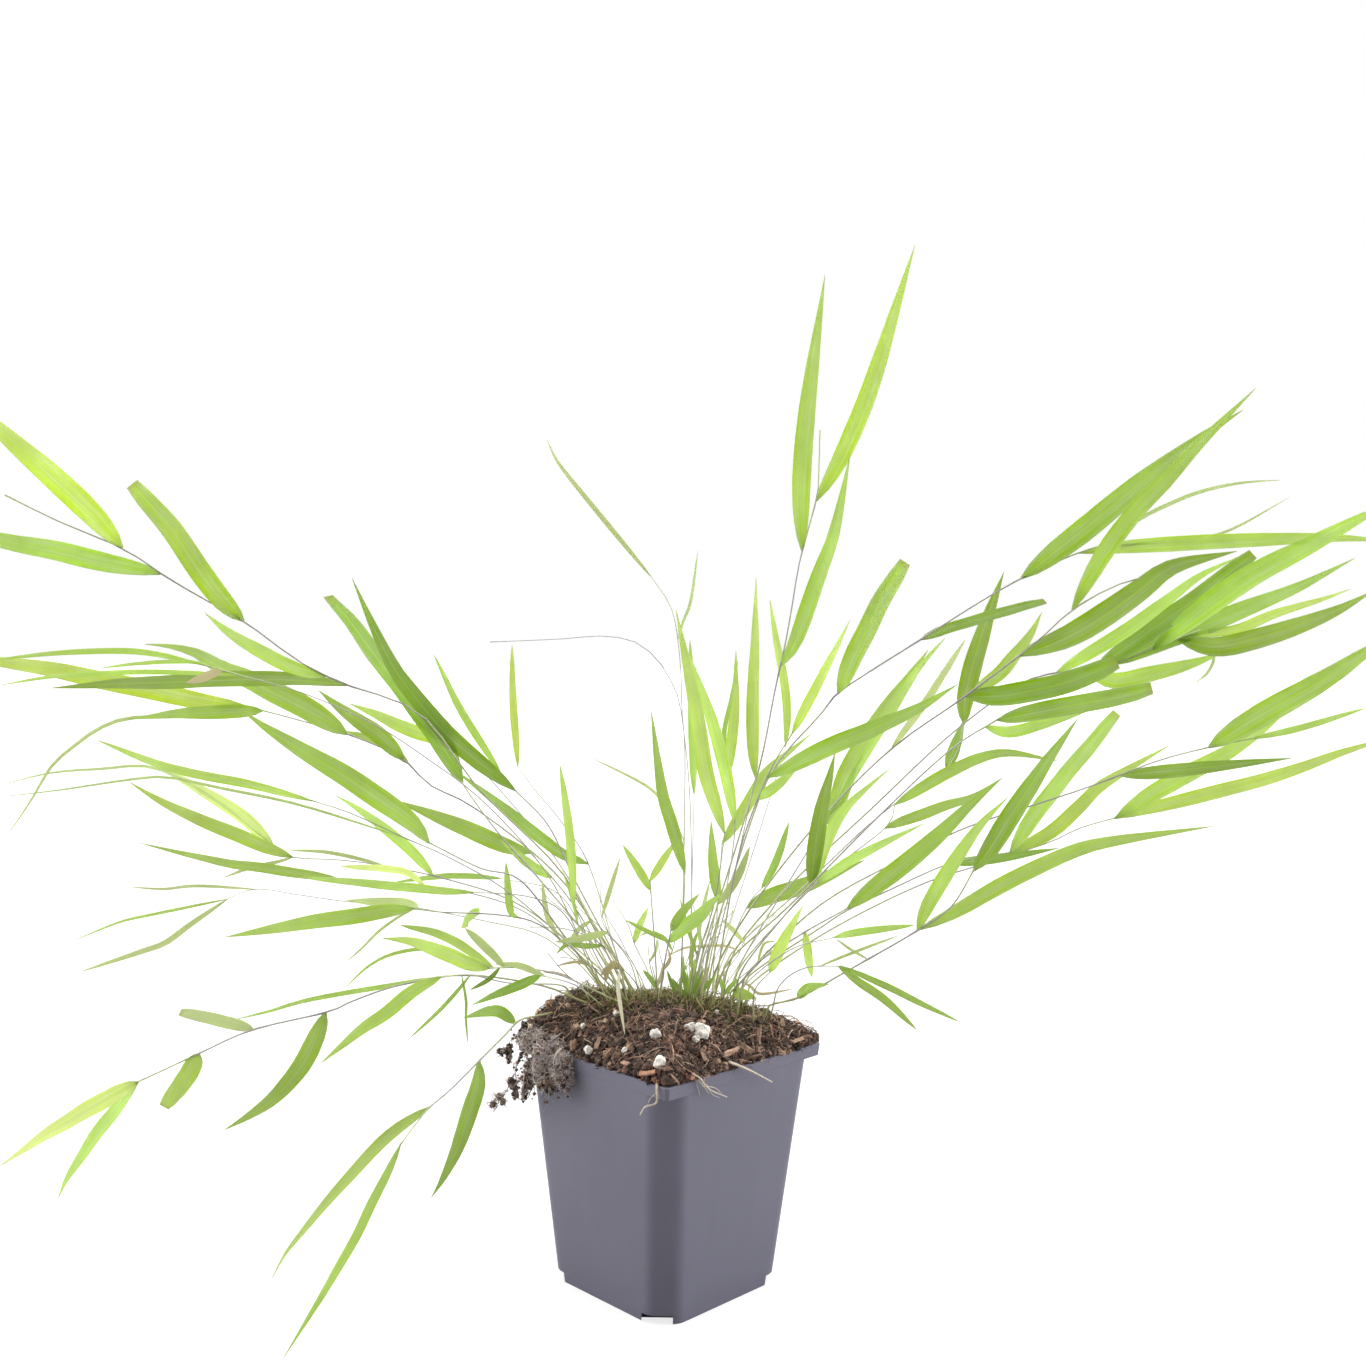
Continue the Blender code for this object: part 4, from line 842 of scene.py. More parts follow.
# The shoots, each named as the solids that it stands for
shoots = {
    "shoot_left_01": shoot(-12, 2, -40, [600, 940, 560, 870, 480, 790, 420, 714, 345, 684, 300, 662, 242,
          620, 200, 597, 160, 573, 122, 548, 60, 522, 5, 495],
        blade(24, -25, "bright", 122, 548, 92, 514, 55, 479, 12, 441, -50, 385),
        blade(20, 20, "fresh", 160, 573, 100, 562, 50, 550, 0, 540, -80, 520),
        blade(22, -15, "green", 243, 620, 222, 600, 199, 570, 172, 530, 146, 500, 132, 484, cut=True),
        blade(16, 30, "deep", 345, 684, 310, 681, 270, 679, 220, 680, 170, 682, 110, 684, 50, 688),
        blade(14, -20, "fresh", 322, 683, 300, 671, 275, 660, 250, 646, 228, 632, 205, 613)),
    "shoot_left_02": shoot(-18, 8, 32, [612, 950, 575, 880, 548, 825, 515, 790, 500, 772],
        blade(18, -15, "deep", 515, 790, 480, 763, 446, 733, 416, 698, 394, 668, 374, 628, 352, 578),
        blade(8, 15, "fresh", 500, 772, 476, 735, 458, 705, 446, 680, 434, 655)),
    "shoot_left_03": shoot(-24, -2, 20, [590, 940, 540, 880, 500, 835, 470, 795, 462, 782],
        blade(20, 20, "deep", 462, 782, 446, 752, 428, 724, 408, 697, 388, 672, 366, 643, 347, 617, 328,
              596, cut=True)),
    "shoot_left_04": shoot(-16, 14, 90, [615, 950, 588, 863, 560, 820, 535, 790, 517, 765],
        blade(12, -15, "deep", 588, 863, 560, 853, 530, 830, 500, 805, 455, 770),
        blade(8, 10, "bright", 517, 765, 513, 700, 512, 645)),
    "shoot_left_05": shoot(-10, -14, -20, [598, 960, 574, 905],
        blade(9, -10, "fresh", 574, 905, 570, 840, 565, 800, 560, 765)),
    "shoot_left_06": shoot(-28, -8, -70, [575, 950, 510, 893, 450, 858, 405, 838, 350, 813, 310, 800],
        blade(9, -15, "fresh", 310, 800, 250, 785, 170, 768, 97, 740),
        blade(3, 8, "grey", 405, 838, 300, 805, 220, 788, 165, 777, 120, 781, 60, 790, 0, 797)),
    "shoot_left_07": shoot(-22, 16, 80, [590, 960, 520, 905, 450, 880, 385, 866, 340, 860, 292, 857, 272,
          845],
        blade(13, 20, "pale", 272, 845, 240, 815, 200, 790, 150, 760),
        blade(14, -15, "fresh", 292, 857, 265, 847, 240, 836, 205, 822, 170, 806, 145, 792, 128, 781),
        blade(11, -20, "fresh", 433, 876, 410, 850, 380, 825, 355, 807, 335, 795),
        blade(3, 10, "grey", 272, 845, 215, 800, 155, 768, 100, 769, 50, 773, 0, 785),
        blade(4, 3, "grey", 292, 857, 277, 862, 250, 868, 222, 878),
        blade(4, 4, "grey", 385, 866, 360, 859, 325, 852, 287, 850)),
    "shoot_left_08": shoot(-26, 13, 30, [585, 965, 530, 915, 470, 893, 400, 883, 340, 880],
        blade(10, -15, "green", 340, 880, 260, 868, 220, 862, 140, 843),
        blade(7, 12, "pale", 425, 886, 400, 871, 340, 866)),
    "shoot_left_09": shoot(-32, 0, -55, [560, 930, 520, 880, 480, 868, 428, 842],
        blade(22, -20, "green", 428, 843, 415, 826, 395, 810, 370, 793, 340, 773, 300, 749, 265, 727, 242,
              710)),
    "shoot_left_10": shoot(-20, 21, 40, [600, 950, 570, 900, 530, 852],
        blade(17, 15, "green", 530, 852, 510, 848, 480, 835, 450, 822, 395, 800),
        blade(10, -12, "green", 550, 878, 530, 865, 500, 840)),
    "shoot_left_11": shoot(-15, 10, 50, [610, 950, 570, 890, 530, 850, 470, 805, 430, 785, 400, 757, 350,
          735, 320, 726, 280, 715, 245, 706],
        blade(19, 12, "bright", 249, 709, 200, 701, 150, 690, 100, 680, 50, 669, 0, 662, -80, 650),
        blade(22, -20, "green", 347, 734, 320, 717, 285, 698, 250, 681, 220, 667, 195, 653, 170, 646, 145,
              644),
        blade(14, -17, "green", 264, 711, 228, 712, 195, 713, 165, 715, 128, 719),
        blade(9, 12, "green", 413, 760, 385, 744, 345, 731),
        blade(17, -12, "green", 405, 758, 380, 736, 360, 722, 340, 708, 318, 690),
        blade(4, -10, "grey", 250, 710, 190, 716, 130, 718, 100, 728, 78, 743, 55, 762, 44, 778, 33, 797,
              18, 820, 5, 838)),
    "shoot_left_12": shoot(-8, 18, 100, [605, 945, 560, 865, 500, 790, 450, 740],
        blade(14, 10, "fresh", 450, 743, 425, 735, 400, 726, 375, 714, 348, 703)),
    "shoot_left_13": shoot(-31, 10, -90, [583, 945, 546, 872, 485, 803, 425, 757, 370, 722, 300, 692, 240,
          675, 200, 664],
        blade(6, -15, "fresh", 200, 664, 160, 655, 120, 651, 60, 653, -10, 660),
        blade(5, 10, "fresh", 240, 675, 150, 672, 60, 676, 0, 685),
        blade(4, 5, "fresh", 215, 668, 190, 662, 145, 663, 100, 668),
        blade(9, -4, "straw", 224, 669, 212, 674, 200, 679, 186, 683), widest=6),
    "shoot_left_14": shoot(-34, -12, -60, [540, 985, 465, 975, 400, 985, 355, 1000, 327, 1012, 252, 1030,
          200, 1053, 170, 1067, 135, 1083],
        blade(19, -25, "green", 327, 1012, 317, 1035, 302, 1065, 277, 1095, 250, 1115, 224, 1130),
        blade(12, 15, "grey", 252, 1030, 225, 1022, 200, 1016, 180, 1012, cut=True),
        blade(19, -12, "fresh", 200, 1053, 188, 1075, 175, 1093, 164, 1107, cut=True),
        blade(17, -15, "pale", 135, 1083, 100, 1103, 60, 1126, 30, 1145, 0, 1166),
        blade(13, 20, "fresh", 137, 1082, 120, 1105, 100, 1130, 80, 1158, 66, 1180, 58, 1198),
        blade(5, 25, "green", 440, 976, 420, 980, 400, 984, 370, 989, 340, 994, 300, 1002, 270, 1011, 233,
              1020),
        blade(4, -8, "green", 470, 976, 445, 1005, 410, 1038),
        blade(3, -5, "green", 463, 975, 466, 1000, 466, 1020, 468, 1045)),
    "shoot_left_15": shoot(-24, -15, -51, [560, 975, 520, 968, 488, 968],
        blade(15, -20, "fresh", 490, 968, 470, 964, 450, 956, 430, 948, 408, 941, 382, 938),
        blade(9, 15, "fresh", 494, 967, 460, 945, 435, 933, 400, 925),
        blade(9, 25, "grey", 505, 967, 480, 942, 465, 928),
        blade(4, -14, "fresh", 488, 968, 440, 950, 400, 952, 370, 965, 343, 990),
        blade(5, -4, "deep", 500, 968, 488, 980, 470, 990)),
    "shoot_left_16": shoot(-38, -5, -71, [560, 985, 510, 983, 470, 975, 440, 977],
        blade(14, -20, "fresh", 440, 977, 412, 992, 388, 1012, 365, 1027, 345, 1043, 320, 1064)),
    "shoot_left_17": shoot(-20, -23, -54, [575, 985, 540, 975],
        blade(10, -15, "deep", 541, 975, 520, 985, 495, 995, 472, 1005),
        blade(7, 12, "grey", 545, 977, 520, 966, 495, 964)),
    "shoot_left_18": shoot(-22, -7, -35, [585, 960, 540, 925, 500, 915, 440, 912, 412, 908],
        blade(16, -15, "fresh", 412, 908, 390, 911, 350, 917, 300, 924, 255, 932, 225, 937),
        blade(12, 25, "grey", 418, 909, 400, 904, 345, 900),
        blade(8, -12, "green", 516, 932, 511, 912, 508, 890, 506, 862),
        blade(6, 15, "grey", 557, 939, 547, 915, 542, 880),
        blade(13, 10, "fresh", 478, 914, 470, 918, 461, 928),
        blade(3, 5, "grey", 415, 911, 397, 918, 378, 932, 362, 948, 345, 963)),
    "shoot_left_19": shoot(-18, -18, -35, [590, 965, 565, 915, 530, 897, 472, 892],
        blade(9, -10, "fresh", 472, 892, 440, 891, 400, 887, 300, 877)),
    "shoot_left_20": shoot(-12, 24, 70, [595, 960, 560, 895, 500, 878],
        blade(6, 12, "green", 500, 878, 450, 876, 395, 882)),
    "shoot_left_21": shoot(-31, 20, 110, [580, 965, 540, 935, 490, 922, 400, 905, 350, 902, 300, 895, 255,
          889, 225, 900],
        blade(6, 12, "grey", 225, 900, 190, 925, 165, 943, 140, 952, 80, 972),
        blade(3, -12, "fresh", 225, 900, 160, 913, 120, 922, 75, 940),
        blade(3, 6, "grey", 255, 889, 195, 886, 165, 889, 130, 887)),
    "shoot_left_22": shoot(-47, -6, -75, [520, 1020, 505, 1035, 480, 1060, 450, 1090, 430, 1107, 415, 1125,
          400, 1145],
        blade(17, -15, "green", 481, 1062, 478, 1085, 470, 1110, 462, 1135, 453, 1158, 441, 1182, 431,
              1198),
        blade(12, -15, "fresh", 430, 1107, 400, 1127, 373, 1151, 345, 1182, 320, 1210, 300, 1235, 285, 1254,
              272, 1278),
        blade(10, -45, "fresh", 400, 1145, 387, 1174, 371, 1205, 357, 1235, 338, 1268, 320, 1299, 281,
              1362),
        blade(12, 10, "green", 516, 1024, 500, 1012, 485, 1012, 463, 1018)),
    "shoot_mid_01": shoot(6, 10, 60, [683, 900, 685, 760, 682, 710, 680, 660, 672, 610, 650, 575],
        blade(5, 20, "grey", 650, 575, 600, 515, 560, 465, 547, 440),
        blade(3, 8, "grey", 676, 640, 683, 622, 691, 600, 698, 550),
        blade(3, -8, "grey", 685, 840, 671, 812, 657, 795, 640, 782, 590, 757)),
    "shoot_mid_02": shoot(9, -5, -45, [692, 940, 690, 800, 681, 710, 675, 690, 665, 670, 650, 652, 630, 640,
          600, 636, 560, 639, 490, 642]),
    "shoot_mid_03": shoot(14, -7, -30, [700, 950, 715, 900, 725, 832],
        blade(16, -15, "fresh", 725, 832, 715, 805, 705, 770, 697, 720, 690, 680, 676, 610)),
    "shoot_mid_04": shoot(18, 9, 30, [712, 950, 728, 880, 735, 820, 727, 778, 722, 760],
        blade(13, -20, "fresh", 735, 822, 729, 790, 721, 755, 712, 722, 700, 687, 682, 640),
        blade(11, 20, "fresh", 727, 778, 731, 745, 735, 705, 736, 650),
        blade(5, 6, "fresh", 727, 778, 724, 735, 731, 700, 738, 660)),
    "shoot_mid_05": shoot(10, 23, 80, [690, 950, 692, 880, 694, 793],
        blade(9, 12, "fresh", 694, 793, 693, 740, 690, 640)),
    "shoot_mid_06": shoot(4, -14, -50, [682, 950, 685, 872],
        blade(13, -15, "green", 685, 872, 672, 825, 662, 790, 651, 710)),
    "shoot_mid_07": shoot(21, 3, 6, [715, 950, 735, 870, 756, 775],
        blade(13, 12, "fresh", 756, 778, 753, 745, 753, 700, 755, 640, 756, 578)),
    "shoot_mid_08": shoot(23, 15, 90, [722, 950, 760, 830, 786, 745],
        blade(9, 10, "fresh", 786, 745, 787, 715, 784, 680, 777, 645, 770, 600)),
    "shoot_mid_09": shoot(-5, -9, -35, [655, 950, 650, 880],
        blade(8, -10, "bright", 650, 880, 662, 862, 675, 842),
        blade(9, 12, "bright", 651, 890, 640, 872, 623, 845)),
    "shoot_mid_10": shoot(-14, -26, -45, [618, 960, 602, 915],
        blade(5, -8, "grey", 602, 915, 610, 890, 620, 858),
        blade(8, 12, "grey", 608, 932, 583, 938, 555, 942)),
    "shoot_mid_11": shoot(1, -20, -45, [665, 960, 672, 925],
        blade(10, -10, "green", 668, 930, 682, 913, 700, 893),
        blade(14, -16, "green", 665, 940, 680, 931, 697, 919, 712, 903, 722, 893),
        blade(5, 14, "green", 668, 942, 645, 930, 625, 920)),
    "shoot_mid_12": shoot(16, -18, -12, [708, 950, 718, 900],
        blade(11, -8, "green", 718, 900, 713, 860, 711, 820),
        blade(9, 14, "grey", 720, 905, 728, 892, 740, 872, 750, 846)),
    "shoot_tall": shoot(14, 2, 15, [705, 945, 735, 850, 760, 765, 775, 690, 786, 640, 793, 600, 800, 560,
          815, 505, 818, 490, 820, 430],
        blade(19, -15, "fresh", 802, 550, 801, 510, 802, 470, 806, 420, 812, 370, 825, 275),
        blade(18, 25, "bright", 816, 500, 840, 460, 862, 410, 878, 365, 892, 320, 915, 245),
        blade(16, -25, "green", 782, 668, 796, 640, 821, 570, 835, 530, 850, 455)),
    "shoot_right_01": shoot(18, -11, 30, [712, 940, 735, 870, 770, 775, 820, 715, 838, 693, 880, 665, 920,
          640, 975, 605, 1022, 578, 1080, 552, 1110, 545],
        blade(19, -15, "green", 838, 693, 850, 665, 864, 636, 882, 600, 905, 562, cut=True),
        blade(10, 20, "deep", 920, 640, 950, 628, 1010, 610, 1045, 601, cut=True),
        blade(24, -20, "green", 1022, 578, 1050, 556, 1085, 529, 1120, 500, 1150, 476, 1185, 450, 1215, 428,
              1243, 410),
        blade(15, 25, "fresh", 1080, 552, 1130, 547, 1200, 543, 1280, 539, 1340, 538, 1400, 541),
        blade(4, -12, "grey", 1110, 545, 1135, 522, 1165, 506, 1200, 492, 1240, 483, 1280, 480),
        blade(3, 30, "grey", 1095, 548, 1170, 541, 1225, 532, 1290, 497)),
    "shoot_right_02": shoot(12, 18, 45, [715, 945, 722, 843],
        blade(12, 15, "fresh", 722, 843, 738, 820, 753, 795, 765, 774, 783, 757, 812, 733)),
    "shoot_right_03": shoot(24, -15, -60, [722, 945, 740, 850, 768, 775, 793, 732],
        blade(18, -20, "green", 768, 778, 785, 769, 803, 760, 840, 743, 875, 728, 915, 710, 958, 684),
        blade(11, 15, "fresh", 760, 800, 775, 787, 800, 765),
        blade(10, -12, "bright", 793, 732, 820, 680, 850, 620)),
    "shoot_right_04": shoot(20, 7, -41, [725, 950, 760, 895, 820, 820, 890, 750, 960, 700, 1020, 655, 1050,
          630, 1072, 610, 1110, 588, 1140, 578],
        blade(18, -20, "green", 1072, 610, 1090, 577, 1108, 547, 1135, 512, 1168, 478, 1200, 443, 1256,
              388),
        blade(24, 15, "deep", 1020, 655, 1060, 641, 1100, 619, 1140, 590, 1175, 566, 1237, 551),
        blade(8, -15, "grey", 890, 750, 905, 730, 925, 703, 948, 667, 965, 640),
        blade(14, 15, "fresh", 975, 689, 997, 676, 1015, 655, 1030, 635, 1042, 612),
        blade(22, -10, "deep", 966, 698, 1000, 696, 1050, 687, 1085, 676, 1117, 662, cut=True)),
    "shoot_right_05": shoot(27, 12, 55, [735, 950, 790, 885, 870, 810, 950, 735, 1018, 685, 1060, 672, 1110,
          665, 1150, 650, 1200, 630],
        blade(14, -25, "fresh", 1058, 672, 1090, 653, 1130, 628, 1165, 602, 1200, 576, 1240, 556),
        blade(18, 15, "deep", 1095, 667, 1130, 645, 1165, 620, 1200, 596, 1230, 572, 1253, 554, cut=True),
        blade(23, -20, "fresh", 1152, 649, 1200, 612, 1255, 574, 1310, 545, 1366, 515, 1400, 498),
        blade(20, 25, "green", 1110, 665, 1160, 642, 1205, 625, 1250, 607, 1300, 586, 1355, 558),
        blade(21, -15, "green", 1180, 648, 1215, 647, 1255, 639, 1300, 625, 1340, 609, 1375, 590),
        blade(17, 15, "bright", 1085, 672, 1115, 681, 1150, 674, 1190, 664, 1225, 652),
        blade(10, 8, "bright", 1190, 650, 1235, 630, 1280, 612, 1320, 600, 1350, 589),
        blade(3, 4, "grey", 1190, 655, 1212, 654, 1208, 672, 1194, 684)),
    "shoot_right_06": shoot(22, -22, -95, [730, 960, 790, 905, 880, 815, 950, 750, 1000, 718],
        blade(18, -15, "deep", 1000, 718, 1040, 712, 1080, 704, 1120, 697, 1152, 688, cut=True),
        blade(12, 15, "fresh", 985, 728, 1010, 732, 1045, 723, 1100, 706)),
    "shoot_right_07": shoot(29, 20, 90, [730, 955, 800, 890, 880, 815, 947, 768, 965, 722],
        blade(19, -12, "deep", 965, 722, 965, 700, 972, 668, 982, 635, 992, 605, 1004, 572),
        blade(12, 20, "deep", 947, 768, 956, 744, 965, 718)),
    "shoot_right_08": shoot(20, 26, 59, [745, 955, 790, 880, 830, 815],
        blade(19, 12, "green", 829, 830, 836, 806, 845, 780, 856, 757, 869, 735, 892, 700, 928, 650),
        blade(8, -6, "fresh", 892, 712, 905, 690, 922, 664, 945, 638)),
    "shoot_right_09": shoot(31, -3, -22, [745, 965, 785, 915, 812, 885],
        blade(17, -10, "deep", 813, 888, 815, 850, 820, 818, 824, 798, 830, 775, 835, 752),
        blade(12, 6, "fresh", 815, 868, 828, 838, 843, 812, 860, 794, 890, 768)),
    "shoot_right_10": shoot(31, 7, 28, [745, 960, 820, 880, 885, 828, 895, 803],
        blade(12, -15, "green", 892, 803, 922, 788, 950, 772, 980, 758, 1010, 753, 1058, 761),
        blade(11, 15, "green", 885, 828, 910, 819, 945, 806, 975, 796, 1002, 778),
        blade(10, -15, "fresh", 815, 880, 850, 861, 880, 845, 925, 823)),
    "shoot_right_11": shoot(33, -13, -52, [750, 970, 800, 935, 848, 908],
        blade(19, -20, "green", 848, 908, 880, 883, 912, 858, 942, 832, 970, 805, 1003, 777),
        blade(9, 10, "bright", 805, 932, 808, 955, 812, 977)),
    "shoot_right_12": shoot(14, 28, 66, [725, 955, 748, 905, 762, 888],
        blade(17, 10, "green", 748, 908, 772, 896, 800, 887, 830, 875, 865, 860),
        blade(8, 12, "green", 762, 888, 773, 868, 781, 848, 789, 822)),
    "shoot_right_13": shoot(38, -9, -60, [770, 1005, 800, 997, 840, 975, 870, 958, 910, 935, 950, 908, 975,
          868],
        blade(15, -15, "green", 916, 930, 928, 905, 943, 880, 962, 850, 983, 822, 1008, 797),
        blade(16, 20, "fresh", 918, 930, 955, 912, 1000, 886, 1040, 866, 1080, 849, 1120, 840, 1215, 826),
        blade(20, -15, "deep", 976, 872, 992, 846, 1008, 820, 1028, 790, 1048, 760, 1078, 718),
        blade(10, -10, "green", 797, 996, 807, 989, 817, 986, 829, 984),
        blade(3, 4, "grey", 868, 959, 850, 949, 835, 938)),
    "shoot_right_14": shoot(35, 4, 20, [750, 975, 820, 928, 848, 910, 900, 885, 940, 867, 965, 860, 1012,
          852],
        blade(16, -15, "green", 1012, 852, 1035, 815, 1060, 782, 1085, 752, 1117, 713, cut=True),
        blade(10, 15, "deep", 950, 864, 1000, 858, 1060, 848),
        blade(14, 15, "bright", 1010, 855, 1050, 833, 1080, 806, 1105, 783, 1170, 745)),
    "shoot_right_15": shoot(29, 16, -30, [750, 970, 820, 905, 900, 860, 965, 828, 1040, 803, 1080, 790,
          1115, 777, 1160, 760, 1210, 747, 1255, 738],
        blade(24, -20, "green", 1210, 747, 1232, 733, 1257, 718, 1280, 705, 1305, 691, 1335, 673, 1366, 652,
              1400, 630),
        blade(14, 20, "deep", 1118, 776, 1160, 772, 1200, 768, 1293, 758),
        blade(7, 12, "fresh", 1255, 738, 1300, 728, 1366, 708)),
    "shoot_right_16": shoot(37, 13, 75, [755, 980, 830, 930, 920, 885, 990, 862, 1050, 842, 1080, 828, 1118,
          817],
        blade(18, -10, "fresh", 1118, 817, 1135, 805, 1155, 792, 1180, 778, 1210, 762, 1235, 748, 1265, 727,
              1300, 696),
        blade(14, 20, "bright", 1114, 818, 1145, 810, 1170, 804, 1220, 791, 1260, 781, 1300, 768, 1340, 753,
              1366, 745, 1400, 734)),
    "shoot_right_17": shoot(27, -28, -80, [745, 985, 790, 950, 835, 937],
        blade(8, -12, "fresh", 835, 937, 860, 932, 915, 925)),
    "shoot_right_18": shoot(32, -20, -43, [755, 990, 770, 972],
        blade(12, -8, "bright", 768, 970, 777, 955, 787, 935, 795, 920, 803, 905)),
    "shoot_right_19": shoot(41, -2, -61, [780, 985, 805, 968, 842, 966],
        blade(9, -15, "green", 838, 966, 860, 983, 885, 1000, 917, 1030),
        blade(7, 15, "green", 842, 966, 890, 988, 920, 1003, 960, 1022),
        blade(3, 10, "grey", 820, 967, 860, 950, 900, 935)),
}

# Fine shoots and old straws between the others, at the foot of the tuft
sprigs = [
    sprig(-2, -5, [636, 980, 630, 962, 618, 945, 603, 930, 590, 918, 575, 905],
        blade(5, 3, "grey", 592, 920, 580, 928, 572, 938, 562, 950)),
    sprig(4, 10, [640, 982, 634, 965, 622, 948, 610, 935, 602, 920, 600, 900, 602, 882]),
    sprig(-4, -20, [628, 982, 620, 965, 606, 948, 585, 935, 560, 928, 530, 927],
        blade(6, -5, "green", 604, 945, 585, 946, 568, 944, 556, 954)),
    sprig(0, -10, [622, 982, 616, 968, 604, 950, 592, 935, 578, 925, 565, 912, 550, 900, 540, 888],
        blade(4, 3, "fresh", 578, 925, 574, 905, 568, 885, 562, 870)),
    sprig(6, 30, [652, 982, 645, 965, 635, 945, 628, 925, 613, 900],
        blade(7, 0, "fresh", 634, 943, 640, 925, 648, 908)),
    sprig(-8, -16, [612, 980, 598, 970, 578, 960, 560, 957],
        blade(3, -3, "straw", 590, 965, 575, 962, 556, 966)),
    sprig(-9, -18, [580, 984, 568, 976, 555, 962, 548, 953],
        blade(3, -3, "straw", 570, 978, 555, 973, 543, 972)),
    sprig(5, 8, [654, 980, 650, 965, 648, 945],
        blade(3, 2, "grey", 650, 962, 656, 950, 657, 938)),
    sprig(0, 5, [662, 984, 664, 972, 660, 955, 658, 940],
        blade(3, 2, "straw", 664, 970, 670, 960, 668, 948)),
    sprig(-4, 0, [673, 990, 680, 978, 690, 962, 698, 950, 706, 935]),
    sprig(0, 6, [688, 990, 691, 978, 697, 955, 700, 930, 693, 905],
        blade(4, 4, "green", 697, 955, 690, 935, 684, 915, 680, 898)),
    sprig(-2, 0, [694, 990, 698, 975, 703, 950, 712, 930, 722, 912, 730, 900],
        blade(5, -4, "grey", 703, 950, 699, 930, 704, 905, 710, 880)),
    sprig(2, 8, [697, 990, 700, 970, 708, 945, 720, 925, 735, 910],
        blade(5, 3, "grey", 724, 922, 735, 932, 745, 944)),
    sprig(-3, -3, [684, 992, 688, 980, 686, 966],
        blade(3, 2, "green", 688, 980, 683, 968, 684, 955)),
    sprig(3, 6, [691, 990, 693, 978, 695, 965, 700, 948, 709, 925, 709, 905],
        blade(5, 2, "green", 694, 972, 691, 960, 693, 946, 698, 930)),
    sprig(-5, 0, [699, 994, 702, 975, 705, 955, 716, 938, 728, 925, 734, 905]),
    sprig(8, 30, [716, 984, 725, 972, 738, 955, 745, 940, 758, 925, 770, 912],
        blade(3, -6, "straw", 740, 951, 725, 946, 703, 946, 685, 948, 665, 957)),
    sprig(3, 10, [722, 990, 732, 976, 745, 955, 755, 940, 768, 922, 782, 905]),
    sprig(0, 0, [728, 990, 740, 978, 755, 965, 768, 950],
        blade(3, 2, "grey", 757, 962, 764, 944, 776, 941)),
    sprig(-4, -10, [731, 992, 742, 981, 760, 962, 772, 950],
        blade(3, -2, "straw", 740, 982, 750, 986, 761, 994, 793, 989),
        blade(12, -2, "bright", 733, 990, 741, 994, 750, 996, 757, 999)),
    sprig(-10, -14, [640, 990, 632, 978, 622, 968, 616, 962],
        blade(4, -24, "cream", 620, 968, 618, 985, 620, 1003, 625, 1035),
        blade(7, -2, "straw", 622, 968, 614, 964, 607, 972, 606, 982),
        blade(6, 2, "straw", 624, 970, 616, 966, 608, 968, 600, 976)),
    sprig(10, 14, [660, 976, 668, 960, 674, 945, 676, 925],
        blade(4, 2, "green", 672, 950, 664, 938, 650, 932, 640, 936)),
    sprig(12, 20, [640, 976, 628, 955, 618, 935, 606, 915, 600, 895]),
    sprig(6, 12, [706, 986, 712, 965, 720, 948, 725, 930, 728, 905]),
    sprig(-7, -8, [689, 1002, 690, 986, 693, 968],
        blade(6, 2, "green", 690, 999, 686, 985, 683, 966),
        blade(6, 0, "fresh", 690, 999, 691, 982, 695, 958),
        blade(5, 2, "green", 690, 999, 697, 986, 704, 968),
        blade(5, 1, "deep", 690, 998, 680, 990, 672, 978)),
    sprig(-5, -6, [698, 1000, 699, 984, 702, 966],
        blade(6, 2, "green", 699, 996, 695, 980, 694, 962),
        blade(5, 0, "straw", 699, 996, 703, 982, 710, 964),
        blade(5, 1, "green", 699, 996, 706, 986, 715, 976)),
    sprig(-3, -3, [724, 998, 725, 988, 729, 976],
        blade(5, 1, "fresh", 725, 995, 722, 984, 717, 972),
        blade(5, 0, "green", 725, 995, 731, 986, 739, 978)),
    sprig(2, 3, [656, 990, 655, 978, 652, 966],
        blade(5, 1, "green", 656, 988, 650, 978, 643, 970),
        blade(4, 0, "straw", 656, 988, 661, 976, 664, 962)),
    sprig(-4, -5, [676, 996, 680, 984, 690, 952],
        blade(4, 1, "deep", 676, 994, 671, 982, 667, 970),
        blade(4, 0, "green", 678, 990, 683, 975, 684, 960)),
]


def makeBlade(name, outline):
    # A flat grid drawn out to the leaf's outline and given its thickness, one long and two wide
    bpy.ops.mesh.primitive_grid_add(x_subdivisions=blades["across"], y_subdivisions=blades["along"], size=2)
    flat = named(bpy.context.object, name)
    for v in flat.data.vertices:
        t = (v.co.y + 1) / 2
        v.co = (v.co.x * between(outline, t), t, 0)
    modified(flat, "SOLIDIFY", thickness=1.0, offset=0)
    flat.data.set_sharp_from_angle(angle=blades["sharp"])
    flat.data.attributes.new("leafColour", "FLOAT_COLOR", "POINT")
    return flat


